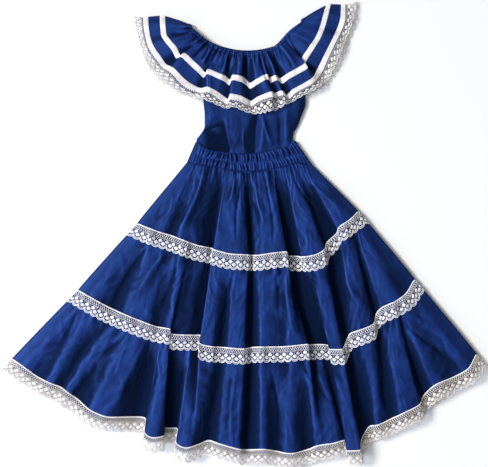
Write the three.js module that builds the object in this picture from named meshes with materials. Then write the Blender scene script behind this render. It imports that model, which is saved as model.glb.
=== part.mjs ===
// A girl's off-shoulder folk dress in royal blue taffeta, laid flat with its front up.
// The neckline runs in an elastic casing, and a deep ruffle with two satin ribbons and a
// lace edge hangs from it. The bodice goes into a shirred elastic waistband, and the
// skirt has three gathered tiers with cotton lace over each seam and at the hem.
//
// Millimetres, +Z up. X runs across the dress, +Y points at the neckline, and the
// dress rests on Z = 0 with the middle of its outline over the origin.
//
// Each piece is a wall through a grid of points on the middle of its cloth. A grid is
// a list of columns, left to right over the front, round the right side fold, back
// over the underside, and round the left side fold. Each column runs down the cloth.

import * as THREE from "three";

// Cloth and trim
const CLOTH = 1.2;
const TRIM = 1.0;
const BAND_CLOTH = 2.0;
const CASING_CLOTH = 2.6;
const CLEARANCE = 0.3;
const SEAM_GAP = 0.9;
const LACE_WIDTH = 32;
const SCALLOP_DEPTH = 4;
const SLOPE_ALLOWANCE = 1.15;

// Heights of the middle of the cloth over the surface that the dress lies on
const FRONT_LEVEL = 4.0;
const WAIST_LEVEL = 8.6;
const NECK_LEVEL = 9.2;
const BACK_LEVEL = CLOTH / 2;
const BACK_OVER_LACE = 2.2;
const BAND_BACK_LEVEL = BAND_CLOTH / 2;
const CASING_BACK_LEVEL = CASING_CLOTH / 2;

// Columns and rows of the grids
const BACK_COLUMNS = 12;
const SIDE_TURN = [Math.PI / 4, Math.PI / 2, (3 * Math.PI) / 4];
const COLUMNS_PER_FOLD = 2;
const COLUMNS_PER_RAY = 3;

// The middle of the outline, before the dress is centred
const OUTLINE_MIDDLE = { x: 0.1, y: -0.8 };

// A table is read by the names of its columns. Each row is one fold or one place.
function table(names, rows) {
  const columns = {};
  names.forEach((name, index) => {
    columns[name] = rows.map((row) => row[index]);
  });
  columns.row = rows.map((row, index) => index);
  return columns;
}

// Left and right edge of the band and the skirt's seam to it, and points between them
const WAIST = table(
  ["x", "y", "bandX", "bandY"],
  [
    [-110, 144, -93, 184],
    [-84, 141, -68, 169],
    [-58, 138, -48, 165],
    [-32, 132, -28, 163],
    [0, 128, -2, 161],
    [30, 129, 22, 162],
    [60, 133, 50, 167],
    [84, 138, 70, 171],
    [106, 144, 86, 175],
    [132, 140, 99, 187],
  ],
);

// Folds of the first tier. top is where the fold leaves the waistband, x and y are
// where it meets the first seam, and rise is its height over the front level there.
const SEAM_1 = table(
  ["top", "x", "y", "rise"],
  [
    [-110, -212, 18, 2.5],
    [-104, -190, 9, 6],
    [-98, -168, 1, 8],
    [-92, -148, -5, 5],
    [-86, -128, -13, 9],
    [-74, -108, -21, 5],
    [-56, -88, -26, 0],
    [-40, -68, -31, 0],
    [-31, -45, -34, 9],
    [-16, -20, -43, 11],
    [-2, 2, -44, 8],
    [8, 20, -45, 2],
    [18, 32, -45, 9],
    [36, 54, -41, 12],
    [54, 77, -38, 10],
    [64, 88, -45, 1],
    [74, 106, -47, 0],
    [83, 125, -48, 10],
    [91, 138, -45, 13],
    [97, 153, -35, 11],
    [104, 168, -20, 4],
    [111, 182, -1, 3],
    [117, 194, 11, 9],
    [125, 212, 27, 8],
    [132, 228, 42, 2.5],
  ],
);

// Folds of the second tier, from the first seam to the second
const SEAM_2 = table(
  ["top", "x", "y", "rise"],
  [
    [-212, -330, -115, 2.5],
    [-202, -302, -130, 8],
    [-190, -268, -149, 4],
    [-170, -232, -164, 10],
    [-150, -198, -178, 10],
    [-134, -172, -187, 5],
    [-116, -154, -191, 10],
    [-104, -143, -201, 1],
    [-84, -118, -203, 0],
    [-66, -93, -204, 1],
    [-56, -81, -219, 11],
    [-46, -67, -225, 13],
    [-26, -46, -227, 5],
    [-14, -27, -228, 11],
    [2, -8, -230, 12],
    [20, 16, -228, 2],
    [36, 40, -226, 12],
    [62, 70, -226, 9],
    [74, 94, -224, 13],
    [86, 119, -221, 11],
    [94, 131, -223, 1],
    [108, 150, -222, 0],
    [122, 166, -224, 2],
    [134, 175, -231, 11],
    [148, 187, -231, 13],
    [162, 197, -224, 6],
    [170, 204, -209, 2],
    [184, 218, -199, 10],
    [196, 234, -191, 12],
    [206, 250, -181, 9],
    [214, 263, -164, 2],
    [219, 278, -149, 9],
    [222, 300, -136, 11],
    [225, 322, -121, 7],
    [228, 340, -94, 2.5],
  ],
);

// Folds of the third tier, from the second seam to the hem
const HEM = table(
  ["top", "x", "y", "rise"],
  [
    [-330, -459, -250, 2.5],
    [-316, -434, -266, 7],
    [-302, -408, -285, 4],
    [-290, -386, -295, 8],
    [-278, -366, -304, 5],
    [-256, -350, -313, 10],
    [-234, -334, -326, 6],
    [-214, -298, -351, 13],
    [-200, -266, -362, 12],
    [-186, -240, -363, 5],
    [-177, -212, -364, 1],
    [-169, -199, -366, 3],
    [-164, -190, -394, 13],
    [-158, -179, -402, 15],
    [-150, -165, -399, 11],
    [-134, -154, -386, 1],
    [-114, -137, -386, 1],
    [-104, -127, -414, 12],
    [-94, -115, -422, 14],
    [-74, -92, -416, 7],
    [-40, -72, -410, 3],
    [-28, -42, -415, 12],
    [-8, -18, -424, 13],
    [14, 8, -428, 4],
    [40, 42, -425, 13],
    [54, 60, -430, 6],
    [74, 92, -434, 10],
    [106, 122, -428, 3],
    [120, 150, -418, 13],
    [134, 176, -413, 14],
    [145, 191, -408, 10],
    [155, 200, -418, 2],
    [172, 209, -428, 12],
    [186, 222, -427, 14],
    [200, 233, -408, 4],
    [216, 250, -382, 2],
    [240, 268, -378, 10],
    [260, 286, -368, 7],
    [278, 314, -354, 14],
    [292, 340, -338, 11],
    [300, 356, -324, 2],
    [308, 384, -299, 11],
    [318, 420, -282, 6],
    [330, 444, -267, 9],
    [340, 461, -241, 2.5],
  ],
);

// The underside's lines hang below a straight line between the two side folds. Each
// column is one line's depth below it, at a share of the way from left to right.
const BACK_DIP = table(
  ["share", "bandTop", "waist", "seam1", "seam2", "hem"],
  [
    [0.0, 0, 0, 0, 0, 0],
    [0.1, 8, 5, 27, 45, 57],
    [0.2, 15, 9, 48, 79, 102],
    [0.35, 22, 13, 67, 112, 136],
    [0.5, 24, 15, 74, 124, 172],
    [0.65, 22, 13, 67, 112, 172],
    [0.8, 15, 9, 48, 79, 122],
    [0.9, 8, 5, 27, 45, 72],
    [1.0, 0, 0, 0, 0, 0],
  ],
);

// Rays of the ruffle, fanned from the neckline to its lower edge and to the tips of
// its lace. rise is the height of the lower edge over the front level.
const RUFFLE_RAYS = table(
  ["neckX", "neckY", "edgeX", "edgeY", "tipX", "tipY", "rise"],
  [
    [-104, 416, -203, 435, -222, 436, 2.5],
    [-101, 413, -198, 392, -212, 390, 6],
    [-97, 410, -190, 372, -206, 368, 3],
    [-90, 404, -178, 350, -196, 344, 8],
    [-82, 396, -162, 334, -180, 322, 4],
    [-72, 388, -140, 314, -156, 300, 8],
    [-62, 383, -124, 297, -134, 287, 6],
    [-48, 376, -92, 284, -96, 273, 9],
    [-32, 370, -60, 276, -62, 261, 12],
    [-20, 367, -36, 260, -36, 252, 6],
    [-8, 366, -16, 266, -16, 252, 11],
    [6, 365, 12, 257, 12, 242, 6],
    [20, 366, 36, 266, 40, 240, 14],
    [36, 368, 56, 272, 60, 248, 14],
    [50, 371, 80, 276, 84, 260, 6],
    [64, 380, 96, 276, 102, 268, 10],
    [76, 392, 124, 293, 130, 282, 10],
    [88, 406, 146, 307, 156, 296, 5],
    [98, 414, 161, 329, 176, 318, 9],
    [106, 419, 173, 360, 190, 348, 4],
    [111, 423, 187, 388, 204, 380, 8],
    [114, 426, 197, 409, 214, 404, 4],
    [116, 428, 210, 457, 230, 463, 2.5],
  ],
);

// Rows of the bodice, from under the casing to the tail inside the waistband. side is
// their height at the side seams, dip how far the middle hangs below that, back and
// front are the levels of the two panels, and relief is the share of the folds' rise.
const BODICE_ROWS = table(
  ["side", "left", "right", "dip", "back", "front", "relief"],
  [
    [398, -88, 102, 28, 3.9, 5.6, 0],
    [330, -86, 112, 26, 3.9, 5.6, 0],
    [268, -82, 124, 24, 3.9, 5.6, 0.15],
    [240, -79, 116, 22, 3.6, 5.4, 0.5],
    [218, -79, 108, 22, 1.4, 3.6, 1],
    [201, -86, 100, 22, 1.8, 4.2, 0.7],
    [188, -90, 95, 22, 3.0, 4.8, 0],
    [172, -86, 90, 20, 3.0, 4.7, 0],
  ],
);

// Folds of the bodice's front, at a share of its width
const BODICE_FOLDS = table(
  ["share", "rise"],
  [
    [0.0, 0],
    [0.1, 5],
    [0.2, 1],
    [0.3, 5],
    [0.39, 4],
    [0.46, 0],
    [0.56, 6],
    [0.65, 5],
    [0.75, 0],
    [0.86, 6],
    [0.94, 3],
    [1.0, 0],
  ],
);

// Rows down each tier: the share of its length, the height of its gathers' ripple and
// the level of the underside, which lies over the lace of the seam above or below.
const TIER_1_ROWS = table(
  ["share", "ripple", "back"],
  [
    [0, 0.8, BACK_LEVEL],
    [0.22, 1.1, BACK_LEVEL],
    [0.5, 0.6, BACK_LEVEL],
    [0.8, 0.2, BACK_LEVEL],
    [1, 0, BACK_OVER_LACE],
  ],
);
const TIER_2_ROWS = table(
  ["share", "ripple", "back"],
  [
    [0, 0.8, BACK_OVER_LACE],
    [0.19, 1.1, BACK_OVER_LACE],
    [0.42, 0.9, BACK_LEVEL],
    [0.75, 0.2, BACK_LEVEL],
    [1, 0, BACK_OVER_LACE],
  ],
);
const TIER_3_ROWS = table(
  ["share", "ripple", "back"],
  [
    [0, 0.9, BACK_OVER_LACE],
    [0.18, 1.3, BACK_OVER_LACE],
    [0.42, 1.0, BACK_LEVEL],
    [0.75, 0.2, BACK_LEVEL],
    [1, 0, BACK_LEVEL],
  ],
);

// Rows down the waistband: two puffed channels with a line of stitches between them
const BAND_ROWS = table(
  ["share", "puff"],
  [
    [0, 0.2],
    [0.3, 1.2],
    [0.64, -0.2],
    [1, 0.3],
  ],
);

// Rows down the ruffle's cloth, with the height of its gathers' ripple
const RUFFLE_ROWS = table(
  ["share", "ripple"],
  [
    [0.12, 1.0],
    [0.36, 1.4],
    [0.68, 0.8],
    [1, 0.3],
  ],
);
const CASING_ROWS = [0, 0.11];
const CASING_RIPPLE = 0.9;
const UPPER_RIBBON_ROWS = [0.55, 0.66];
const LOWER_RIBBON_ROWS = [0.89, 0.995];
const RIBBON_RIPPLE = { upper: 1.2, lower: 0.6 };
const BACK_PEEK = 8;

// A smooth value between the rows of a table, with no overshoot at crests and valleys
function smooth(places, values, place) {
  const last = places.length - 1;
  const at = Math.min(Math.max(place, places[0]), places[last]);
  let i = 0;
  while (i < last - 1 && at > places[i + 1]) {
    i += 1;
  }
  const slope = (k) => (values[k + 1] - values[k]) / (places[k + 1] - places[k]);
  const tangent = (k) => {
    if (k === 0) {
      return slope(0);
    }
    if (k === last) {
      return slope(last - 1);
    }
    const before = slope(k - 1);
    const after = slope(k);
    return before * after <= 0 ? 0 : (2 * before * after) / (before + after);
  };
  const width = places[i + 1] - places[i];
  const f = (at - places[i]) / width;
  const rest = 1 - f;
  const ends = values[i] * (1 + 2 * f) * rest * rest + values[i + 1] * (3 - 2 * f) * f * f;
  return ends + width * (tangent(i) * f * rest * rest - tangent(i + 1) * rest * f * f);
}

function mix(a, b, share) {
  return a + (b - a) * share;
}

function mixPoint(a, b, share) {
  return [mix(a[0], b[0], share), mix(a[1], b[1], share), mix(a[2], b[2], share)];
}

// Gathers stand up from the cloth, from 0 between them to 2 on their crests, and fade
// out into the side folds
function gather(column, count, period) {
  return gatherFade(column, count) * (1 + Math.cos((2 * Math.PI * column) / period));
}

function gatherFade(column, count) {
  return Math.max(0, Math.min(1, column / 4, (count - column) / 4));
}

// The seam lines of the front, one point for each column, traced up from the hem
function frontLines() {
  const count = (HEM.x.length - 1) * COLUMNS_PER_FOLD;
  const lines = { bandTop: [], waist: [], seam1: [], seam2: [], hem: [] };
  for (let column = 0; column <= count; column += 1) {
    const row = column / COLUMNS_PER_FOLD;
    const hem = {};
    for (const name of ["top", "x", "y", "rise"]) {
      hem[name] = smooth(HEM.row, HEM[name], row);
    }
    const seam2X = hem.top;
    const seam1X = smooth(SEAM_2.x, SEAM_2.top, seam2X);
    const waistX = smooth(SEAM_1.x, SEAM_1.top, seam1X);
    const onSeam = (seam, x) => [
      x,
      smooth(seam.x, seam.y, x),
      FRONT_LEVEL + smooth(seam.x, seam.rise, x),
    ];
    lines.hem.push([hem.x, hem.y, FRONT_LEVEL + hem.rise]);
    lines.seam2.push(onSeam(SEAM_2, seam2X));
    lines.seam1.push(onSeam(SEAM_1, seam1X));
    lines.waist.push([waistX, smooth(WAIST.x, WAIST.y, waistX), WAIST_LEVEL]);
    lines.bandTop.push([
      smooth(WAIST.x, WAIST.bandX, waistX),
      smooth(WAIST.x, WAIST.bandY, waistX),
      WAIST_LEVEL,
    ]);
  }
  return lines;
}

// One line of the underside, from the right side fold to the left
function backLine(front, dip) {
  const left = front[0];
  const right = front[front.length - 1];
  const line = [];
  for (let column = 0; column <= BACK_COLUMNS; column += 1) {
    const share = 1 - column / BACK_COLUMNS;
    const straight = mixPoint(left, right, share);
    line.push([straight[0], straight[1] - smooth(BACK_DIP.share, BACK_DIP[dip], share), 0]);
  }
  return line;
}

// A ring of columns out of the front's and the underside's, with round side folds.
// out gives the direction in which each side fold bulges.
function ring(front, back, out) {
  const turn = (above, below, direction) =>
    SIDE_TURN.map((angle) =>
      above.map((top, row) => {
        const radius = (top[2] - below[row][2]) / 2;
        const reach = radius * Math.sin(angle);
        return [
          top[0] + direction[0] * reach,
          top[1] + direction[1] * reach,
          top[2] - radius + radius * Math.cos(angle),
        ];
      }),
    );
  const rightTurn = turn(front[front.length - 1], back[0], out.right);
  const leftTurn = turn(front[0], back[back.length - 1], out.left).reverse();
  return [...front, ...rightTurn, ...back, ...leftTurn];
}

const SIDEWAYS = { left: [-1, 0], right: [1, 0] };

// The outward direction at each point of a grid
function directions(grid, closed) {
  const columns = grid.length;
  const rows = grid[0].length;
  const normal = (column, row) => {
    const next = closed ? (column + 1) % columns : Math.min(column + 1, columns - 1);
    const previous = closed ? (column + columns - 1) % columns : Math.max(column - 1, 0);
    const along = new THREE.Vector3(...grid[next][row]).sub(
      new THREE.Vector3(...grid[previous][row]),
    );
    const below = new THREE.Vector3(...grid[column][Math.min(row + 1, rows - 1)]);
    const down = below.sub(new THREE.Vector3(...grid[column][Math.max(row - 1, 0)]));
    return down.cross(along).normalize();
  };
  return grid.map((points, column) => points.map((point, row) => normal(column, row)));
}

// A grid moved out of the cloth, by a distance for each column
function movedOut(grid, distance) {
  const out = directions(grid, true);
  return grid.map((points, column) =>
    points.map((point, row) => {
      const normal = out[column][row];
      const step = distance(column);
      return [point[0] + normal.x * step, point[1] + normal.y * step, point[2] + normal.z * step];
    }),
  );
}

// A closed wall of even thickness through a grid, as a tube or as an open sheet
function wall(grid, thickness, closed) {
  const columns = grid.length;
  const rows = grid[0].length;
  const out = directions(grid, closed);
  const positions = [];
  for (const side of [0.5, -0.5]) {
    for (let column = 0; column < columns; column += 1) {
      for (let row = 0; row < rows; row += 1) {
        const point = grid[column][row];
        const step = out[column][row].clone().multiplyScalar(side * thickness);
        positions.push(point[0] + step.x, point[1] + step.y, point[2] + step.z);
      }
    }
  }
  const outer = (column, row) => (column % columns) * rows + row;
  const inner = (column, row) => columns * rows + outer(column, row);
  const faces = [];
  const quad = (a, b, c, d) => faces.push(a, b, c, c, b, d);
  const spans = closed ? columns : columns - 1;
  for (let column = 0; column < spans; column += 1) {
    for (let row = 0; row < rows - 1; row += 1) {
      quad(outer(column, row), outer(column, row + 1), outer(column + 1, row), outer(column + 1, row + 1));
      quad(inner(column, row), inner(column + 1, row), inner(column, row + 1), inner(column + 1, row + 1));
    }
    const last = rows - 1;
    quad(outer(column, 0), outer(column + 1, 0), inner(column, 0), inner(column + 1, 0));
    quad(outer(column, last), inner(column, last), outer(column + 1, last), inner(column + 1, last));
  }
  if (!closed) {
    const end = columns - 1;
    for (let row = 0; row < rows - 1; row += 1) {
      quad(outer(0, row), inner(0, row), outer(0, row + 1), inner(0, row + 1));
      quad(outer(end, row), outer(end, row + 1), inner(end, row), inner(end, row + 1));
    }
  }
  const geometry = new THREE.BufferGeometry();
  geometry.setAttribute("position", new THREE.Float32BufferAttribute(positions, 3));
  geometry.setIndex(faces);
  geometry.computeVertexNormals();
  return geometry;
}

// Materials
const taffeta = { color: 0x1d3c92, roughness: 0.38, metalness: 0 };
const satin = { color: 0xe8dfda, roughness: 0.3, metalness: 0 };
const cotton = { color: 0xece9e1, roughness: 0.85, metalness: 0 };

const dress = new THREE.Group();

function addPiece(name, geometry, finish) {
  const mesh = new THREE.Mesh(geometry, new THREE.MeshStandardMaterial(finish));
  mesh.name = name;
  mesh.position.set(-OUTLINE_MIDDLE.x, -OUTLINE_MIDDLE.y, 0);
  dress.add(mesh);
}

// Length of the way between two points in plan
function planLength(a, b) {
  return Math.hypot(b[0] - a[0], b[1] - a[1]);
}

const fronts = frontLines();
const FRONT_COLUMNS = fronts.hem.length - 1;
const backs = {
  bandTop: backLine(fronts.bandTop, "bandTop"),
  waist: backLine(fronts.waist, "waist"),
  seam1: backLine(fronts.seam1, "seam1"),
  seam2: backLine(fronts.seam2, "seam2"),
  hem: backLine(fronts.hem, "hem"),
};

// A tier's columns between two seam lines. Shares of 0 and 1 stop short of the seams.
function tierGrid(upper, lower, rows, period) {
  const column = (top, foot, lift) => {
    const trim = SEAM_GAP / 2 / planLength(top, foot);
    return rows.share.map((share, row) => {
      const point = mixPoint(top, foot, Math.min(Math.max(share, trim), 1 - trim));
      return lift(point, row);
    });
  };
  const front = fronts[upper].map((top, index) =>
    column(top, fronts[lower][index], (point, row) => [
      point[0],
      point[1],
      point[2] + rows.ripple[row] * gather(index, FRONT_COLUMNS, period),
    ]),
  );
  const back = backs[upper].map((top, index) =>
    column(top, backs[lower][index], (point, row) => [point[0], point[1], rows.back[row]]),
  );
  return ring(front, back, SIDEWAYS);
}

addPiece("skirt_tier_1", wall(tierGrid("waist", "seam1", TIER_1_ROWS, 3), CLOTH, true), taffeta);
addPiece("skirt_tier_2", wall(tierGrid("seam1", "seam2", TIER_2_ROWS, 2), CLOTH, true), taffeta);
addPiece("skirt_tier_3", wall(tierGrid("seam2", "hem", TIER_3_ROWS, 2), CLOTH, true), taffeta);

// Lace sewn over a seam, lying on the tier below it. Its upper edge stands a little
// over the seam, and its lower edge is scalloped.
function seamLace(upper, lower, ripple, scallopColumns) {
  const overSeam = -3;
  const column = (top, foot, level, index) => {
    const length = planLength(top, foot);
    const scallop = Math.cos((2 * Math.PI * index) / scallopColumns);
    const reach = LACE_WIDTH + overSeam + (scallop * SCALLOP_DEPTH) / 2;
    return [overSeam, reach].map((distance) => {
      const point = mixPoint(top, foot, distance / length);
      return [point[0], point[1], level === null ? point[2] : level];
    });
  };
  const front = fronts[upper].map((top, index) => column(top, fronts[lower][index], null, index));
  const back = backs[upper].map((top, index) =>
    column(top, backs[lower][index], BACK_OVER_LACE, index),
  );
  const onCloth = CLOTH / 2 + CLEARANCE + TRIM / 2;
  const lift = (index) => {
    const overGathers = 2 * ripple * gatherFade(index, FRONT_COLUMNS);
    return onCloth * (index <= FRONT_COLUMNS ? SLOPE_ALLOWANCE : 1) + overGathers;
  };
  return movedOut(ring(front, back, SIDEWAYS), lift);
}

addPiece("lace_tier_1", wall(seamLace("seam1", "seam2", 1.1, 4), TRIM, true), cotton);
addPiece("lace_tier_2", wall(seamLace("seam2", "hem", 1.3, 2), TRIM, true), cotton);

// Lace sewn to the hem, which goes on in the line of the cloth
function hemLace() {
  const column = (top, foot, index, level) => {
    const length = planLength(top, foot);
    const reach = LACE_WIDTH + (Math.cos(Math.PI * index) * SCALLOP_DEPTH) / 2;
    return [SEAM_GAP, reach].map((distance) => {
      const point = mixPoint(top, foot, 1 + distance / length);
      return [point[0], point[1], level(foot[2], distance / LACE_WIDTH)];
    });
  };
  const settling = (height, share) => mix(height, FRONT_LEVEL + (height - FRONT_LEVEL) * 0.8, share);
  const front = fronts.seam2.map((top, index) => column(top, fronts.hem[index], index, settling));
  const back = backs.seam2.map((top, index) =>
    column(top, backs.hem[index], index, () => TRIM / 2),
  );
  return ring(front, back, SIDEWAYS);
}

addPiece("hem_lace", wall(hemLace(), TRIM, true), cotton);

// The waistband, puckered over its elastic
function bandGrid() {
  const column = (top, foot, place) => {
    const trim = (1.2 * SEAM_GAP) / planLength(top, foot);
    return BAND_ROWS.share.map((share, row) => {
      const point = mixPoint(top, foot, Math.min(share, 1 - trim));
      return [point[0], point[1], place(row)];
    });
  };
  const front = fronts.bandTop.map((top, index) =>
    column(top, fronts.waist[index], (row) => {
      const pucker = 0.9 * gather(index, FRONT_COLUMNS, 3);
      return WAIST_LEVEL + BAND_ROWS.puff[row] + pucker;
    }),
  );
  const back = backs.bandTop.map((top, index) =>
    column(top, backs.waist[index], () => BAND_BACK_LEVEL),
  );
  return ring(front, back, SIDEWAYS);
}

addPiece("waistband", wall(bandGrid(), BAND_CLOTH, true), taffeta);

// One ray of the ruffle at a place along the table, with its three points in plan
function ray(row) {
  const at = (name) => smooth(RUFFLE_RAYS.row, RUFFLE_RAYS[name], row);
  return {
    neck: [at("neckX"), at("neckY"), NECK_LEVEL],
    edge: [at("edgeX"), at("edgeY"), FRONT_LEVEL + at("rise") + overBodice(at("edgeX"))],
    tip: [at("tipX"), at("tipY"), FRONT_LEVEL + at("rise") * 0.8 + overBodice(at("edgeX"))],
  };
}

// Where the ruffle's edge lies on the bodice, it stands higher than at the shoulders
function overBodice(x) {
  const middle = 12;
  const halfWidth = 130;
  const share = Math.min(1, Math.abs(x - middle) / halfWidth);
  return 5 * (1 - share * share);
}

const LAST_RAY = RUFFLE_RAYS.row.length - 1;
const RUFFLE_COLUMNS = LAST_RAY * COLUMNS_PER_RAY;

// Points of the ruffle's rays, front and underside, at places worked out from each ray
function ruffleRing(frontPoint, backPoint) {
  const front = [];
  for (let column = 0; column <= RUFFLE_COLUMNS; column += 1) {
    front.push(frontPoint(ray(column / COLUMNS_PER_RAY), column));
  }
  const back = [];
  for (let column = 0; column <= BACK_COLUMNS; column += 1) {
    const row = LAST_RAY * (1 - column / BACK_COLUMNS);
    back.push(backPoint(ray(row), column));
  }
  const across = (from, to, side) => {
    const length = planLength(from, to);
    return [(side * (to[1] - from[1])) / length, (-side * (to[0] - from[0])) / length];
  };
  const first = ray(0);
  const last = ray(LAST_RAY);
  const out = { left: across(first.neck, first.edge, 1), right: across(last.neck, last.edge, -1) };
  return ring(front, back, out);
}

function rufflePiece(shares, ripple, backLevel) {
  const trim = SEAM_GAP / 2 / 104;
  return ruffleRing(
    (place, column) =>
      shares.map((share, row) => {
        const point = mixPoint(place.neck, place.edge, Math.min(share, 1 - trim));
        point[2] += ripple(row) * gather(column, RUFFLE_COLUMNS, 2);
        return point;
      }),
    (place) =>
      shares.map((share) => {
        const point = mixPoint(place.neck, place.edge, Math.min(share, 1 - trim));
        point[2] = backLevel;
        return point;
      }),
  );
}

const casing = rufflePiece(CASING_ROWS, () => CASING_RIPPLE, CASING_BACK_LEVEL);
addPiece("neckline_casing", wall(casing, CASING_CLOTH, true), taffeta);

const ruffle = rufflePiece(RUFFLE_ROWS.share, (row) => RUFFLE_ROWS.ripple[row], BACK_OVER_LACE);
addPiece("ruffle", wall(ruffle, CLOTH, true), taffeta);

// Ribbons sewn on the ruffle
function ribbon(shares, ripple) {
  const onCloth = CLOTH / 2 + CLEARANCE + TRIM / 2;
  const lift = (index) => {
    const overGathers = 2 * ripple * gatherFade(index, RUFFLE_COLUMNS);
    return onCloth * (index <= RUFFLE_COLUMNS ? SLOPE_ALLOWANCE : 1) + overGathers;
  };
  return movedOut(rufflePiece(shares, () => 0, BACK_OVER_LACE), lift);
}

addPiece("ribbon_upper", wall(ribbon(UPPER_RIBBON_ROWS, RIBBON_RIPPLE.upper), TRIM, true), satin);
addPiece("ribbon_lower", wall(ribbon(LOWER_RIBBON_ROWS, RIBBON_RIPPLE.lower), TRIM, true), satin);

// Lace at the ruffle's edge, which the lower ribbon's edge covers where it starts
function ruffleLace() {
  const frontPoint = (place, column) => {
    const scallop = (Math.cos((2 * Math.PI * column) / 3) * SCALLOP_DEPTH) / 2;
    const length = planLength(place.edge, place.tip);
    const start = SEAM_GAP / length;
    return [start, 1 + scallop / length].map((share) => mixPoint(place.edge, place.tip, share));
  };
  const backPoint = (place, column) => {
    const towardsRight = 1 - column / BACK_COLUMNS;
    const length = planLength(place.edge, place.tip);
    const peek = (BACK_PEEK * towardsRight * (1 - towardsRight) * 4) / length;
    return [SEAM_GAP / length, 1 + peek].map((share) => {
      const point = mixPoint(place.edge, place.tip, share);
      point[2] = share > 0.5 ? 1.2 : BACK_OVER_LACE;
      return point;
    });
  };
  return ruffleRing(frontPoint, backPoint);
}

addPiece("ruffle_lace", wall(ruffleLace(), TRIM, true), cotton);

// The bodice's front and back, from under the casing to inside the waistband
function bodicePanel(shares, level) {
  return shares.map((share) =>
    BODICE_ROWS.side.map((side, row) => {
      const dip = BODICE_ROWS.dip[row] * 4 * share * (1 - share);
      return [mix(BODICE_ROWS.left[row], BODICE_ROWS.right[row], share), side - dip, level(row, share)];
    }),
  );
}

const frontShares = [];
for (let column = 0; column <= (BODICE_FOLDS.row.length - 1) * 2; column += 1) {
  frontShares.push(smooth(BODICE_FOLDS.row, BODICE_FOLDS.share, column / 2));
}
const backShares = [0, 0.2, 0.4, 0.6, 0.8, 1];
const bodiceFront = bodicePanel(frontShares, (row, share) => {
  const rise = smooth(BODICE_FOLDS.share, BODICE_FOLDS.rise, share);
  return BODICE_ROWS.front[row] + rise * BODICE_ROWS.relief[row];
});
const bodiceBack = bodicePanel(backShares, (row) => BODICE_ROWS.back[row]);
addPiece("bodice_front", wall(bodiceFront, CLOTH, false), taffeta);
addPiece("bodice_back", wall(bodiceBack, CLOTH, false), taffeta);

export default dress;
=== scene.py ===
import functools
import math

import bpy
import numpy as np
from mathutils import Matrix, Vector, noise


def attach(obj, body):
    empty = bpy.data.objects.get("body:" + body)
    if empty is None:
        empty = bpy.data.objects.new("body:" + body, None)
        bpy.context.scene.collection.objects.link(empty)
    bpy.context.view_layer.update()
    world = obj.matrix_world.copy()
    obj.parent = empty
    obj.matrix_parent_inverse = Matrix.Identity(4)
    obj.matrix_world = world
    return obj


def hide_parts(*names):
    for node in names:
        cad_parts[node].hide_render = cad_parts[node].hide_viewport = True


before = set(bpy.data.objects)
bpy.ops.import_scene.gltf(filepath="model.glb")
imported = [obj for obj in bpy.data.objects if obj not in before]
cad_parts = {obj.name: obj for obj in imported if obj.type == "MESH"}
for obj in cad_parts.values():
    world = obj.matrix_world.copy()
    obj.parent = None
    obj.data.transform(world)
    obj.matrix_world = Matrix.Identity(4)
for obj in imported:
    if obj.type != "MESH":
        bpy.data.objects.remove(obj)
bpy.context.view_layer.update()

# A girl's off-shoulder folk dress in royal blue taffeta, laid flat with its front up.
# The shapes are worked out in millimetres, from tables with a row for each fold, and
# turned to metres when a mesh is made. X runs across the dress, Y towards the neckline.

MM = 0.001
OUTLINE_MIDDLE = np.array([0.1, -0.8, 0.0])

# Thickness of the cloth, the elastic bands and the ribbon
CLOTH = 0.5
BAND_CLOTH = 1.2
RIBBON = 0.4

# Heights above the table
FRONT_LEVEL = 4.0
FRONT_LOWEST = FRONT_LEVEL - 0.8
WAIST_LEVEL = 8.6
NECK_LEVEL = 9.2
BACK_LEVEL = 0.6
BACK_OVER_LACE = 2.2
UNDER_HIGHEST = 2.55
CASING_UNDER = 1.4
LACE_UNDER = BACK_OVER_LACE - 0.5
RUFFLE_LACE_EDGE_UNDER = 1.2

# A fold whose rise in a table is FOLD_FULL stands FOLD_HEIGHT times as high as that
FOLD_FULL = 15.0
FOLD_HEIGHT = 1.7

# Small crumples: their height, how many there are for each row of a table, their length
CRUMPLE_HEIGHT = 1.2
CRUMPLES_PER_ROW = 1.15
CRUMPLE_LENGTH = 40.0

# How far from a side fold the front's relief comes to its full height
SIDE_REACH = 14.0

# Shares of a tier's underside that lie over the lace above and the lace below
LACE_ABOVE = 0.3
LACE_BELOW = 0.14

# The ruffle lies higher over the bodice, most at its middle
OVER_BODICE = 5.0
BODICE_MIDDLE = 12.0
BODICE_REACH = 130.0

# How far the ruffle's folds bulge at the shoulders
SHOULDER_BOW = 5.0

# Columns and rows of points
SKIRT_COLUMNS = 380
SKIRT_ROWS = 66
BAND_COLUMNS = 300
BAND_ROWS = 26
RUFFLE_COLUMNS = 400
UNDER_COLUMNS = 110
SIDE_COLUMNS = 7
LINE_SAMPLES = 6000

# Lace and ribbon. The stitches are this far inside the ribbon's edges.
LACE_WIDTH = 32.0
LACE_PITCH = 14.4
RIBBON_WIDTH = 12.0
STITCH_INSET = 1.1
STITCH_LENGTH = 2.6
STITCH_WIDTH = 0.6


# Tables and smooth values

def table(names, rows):
    """A table that is read by the names of its columns."""
    columns = np.array(rows, float).T
    made = dict(zip(names.split(), columns))
    made["row"] = np.arange(len(rows), dtype=float)
    return made


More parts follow.
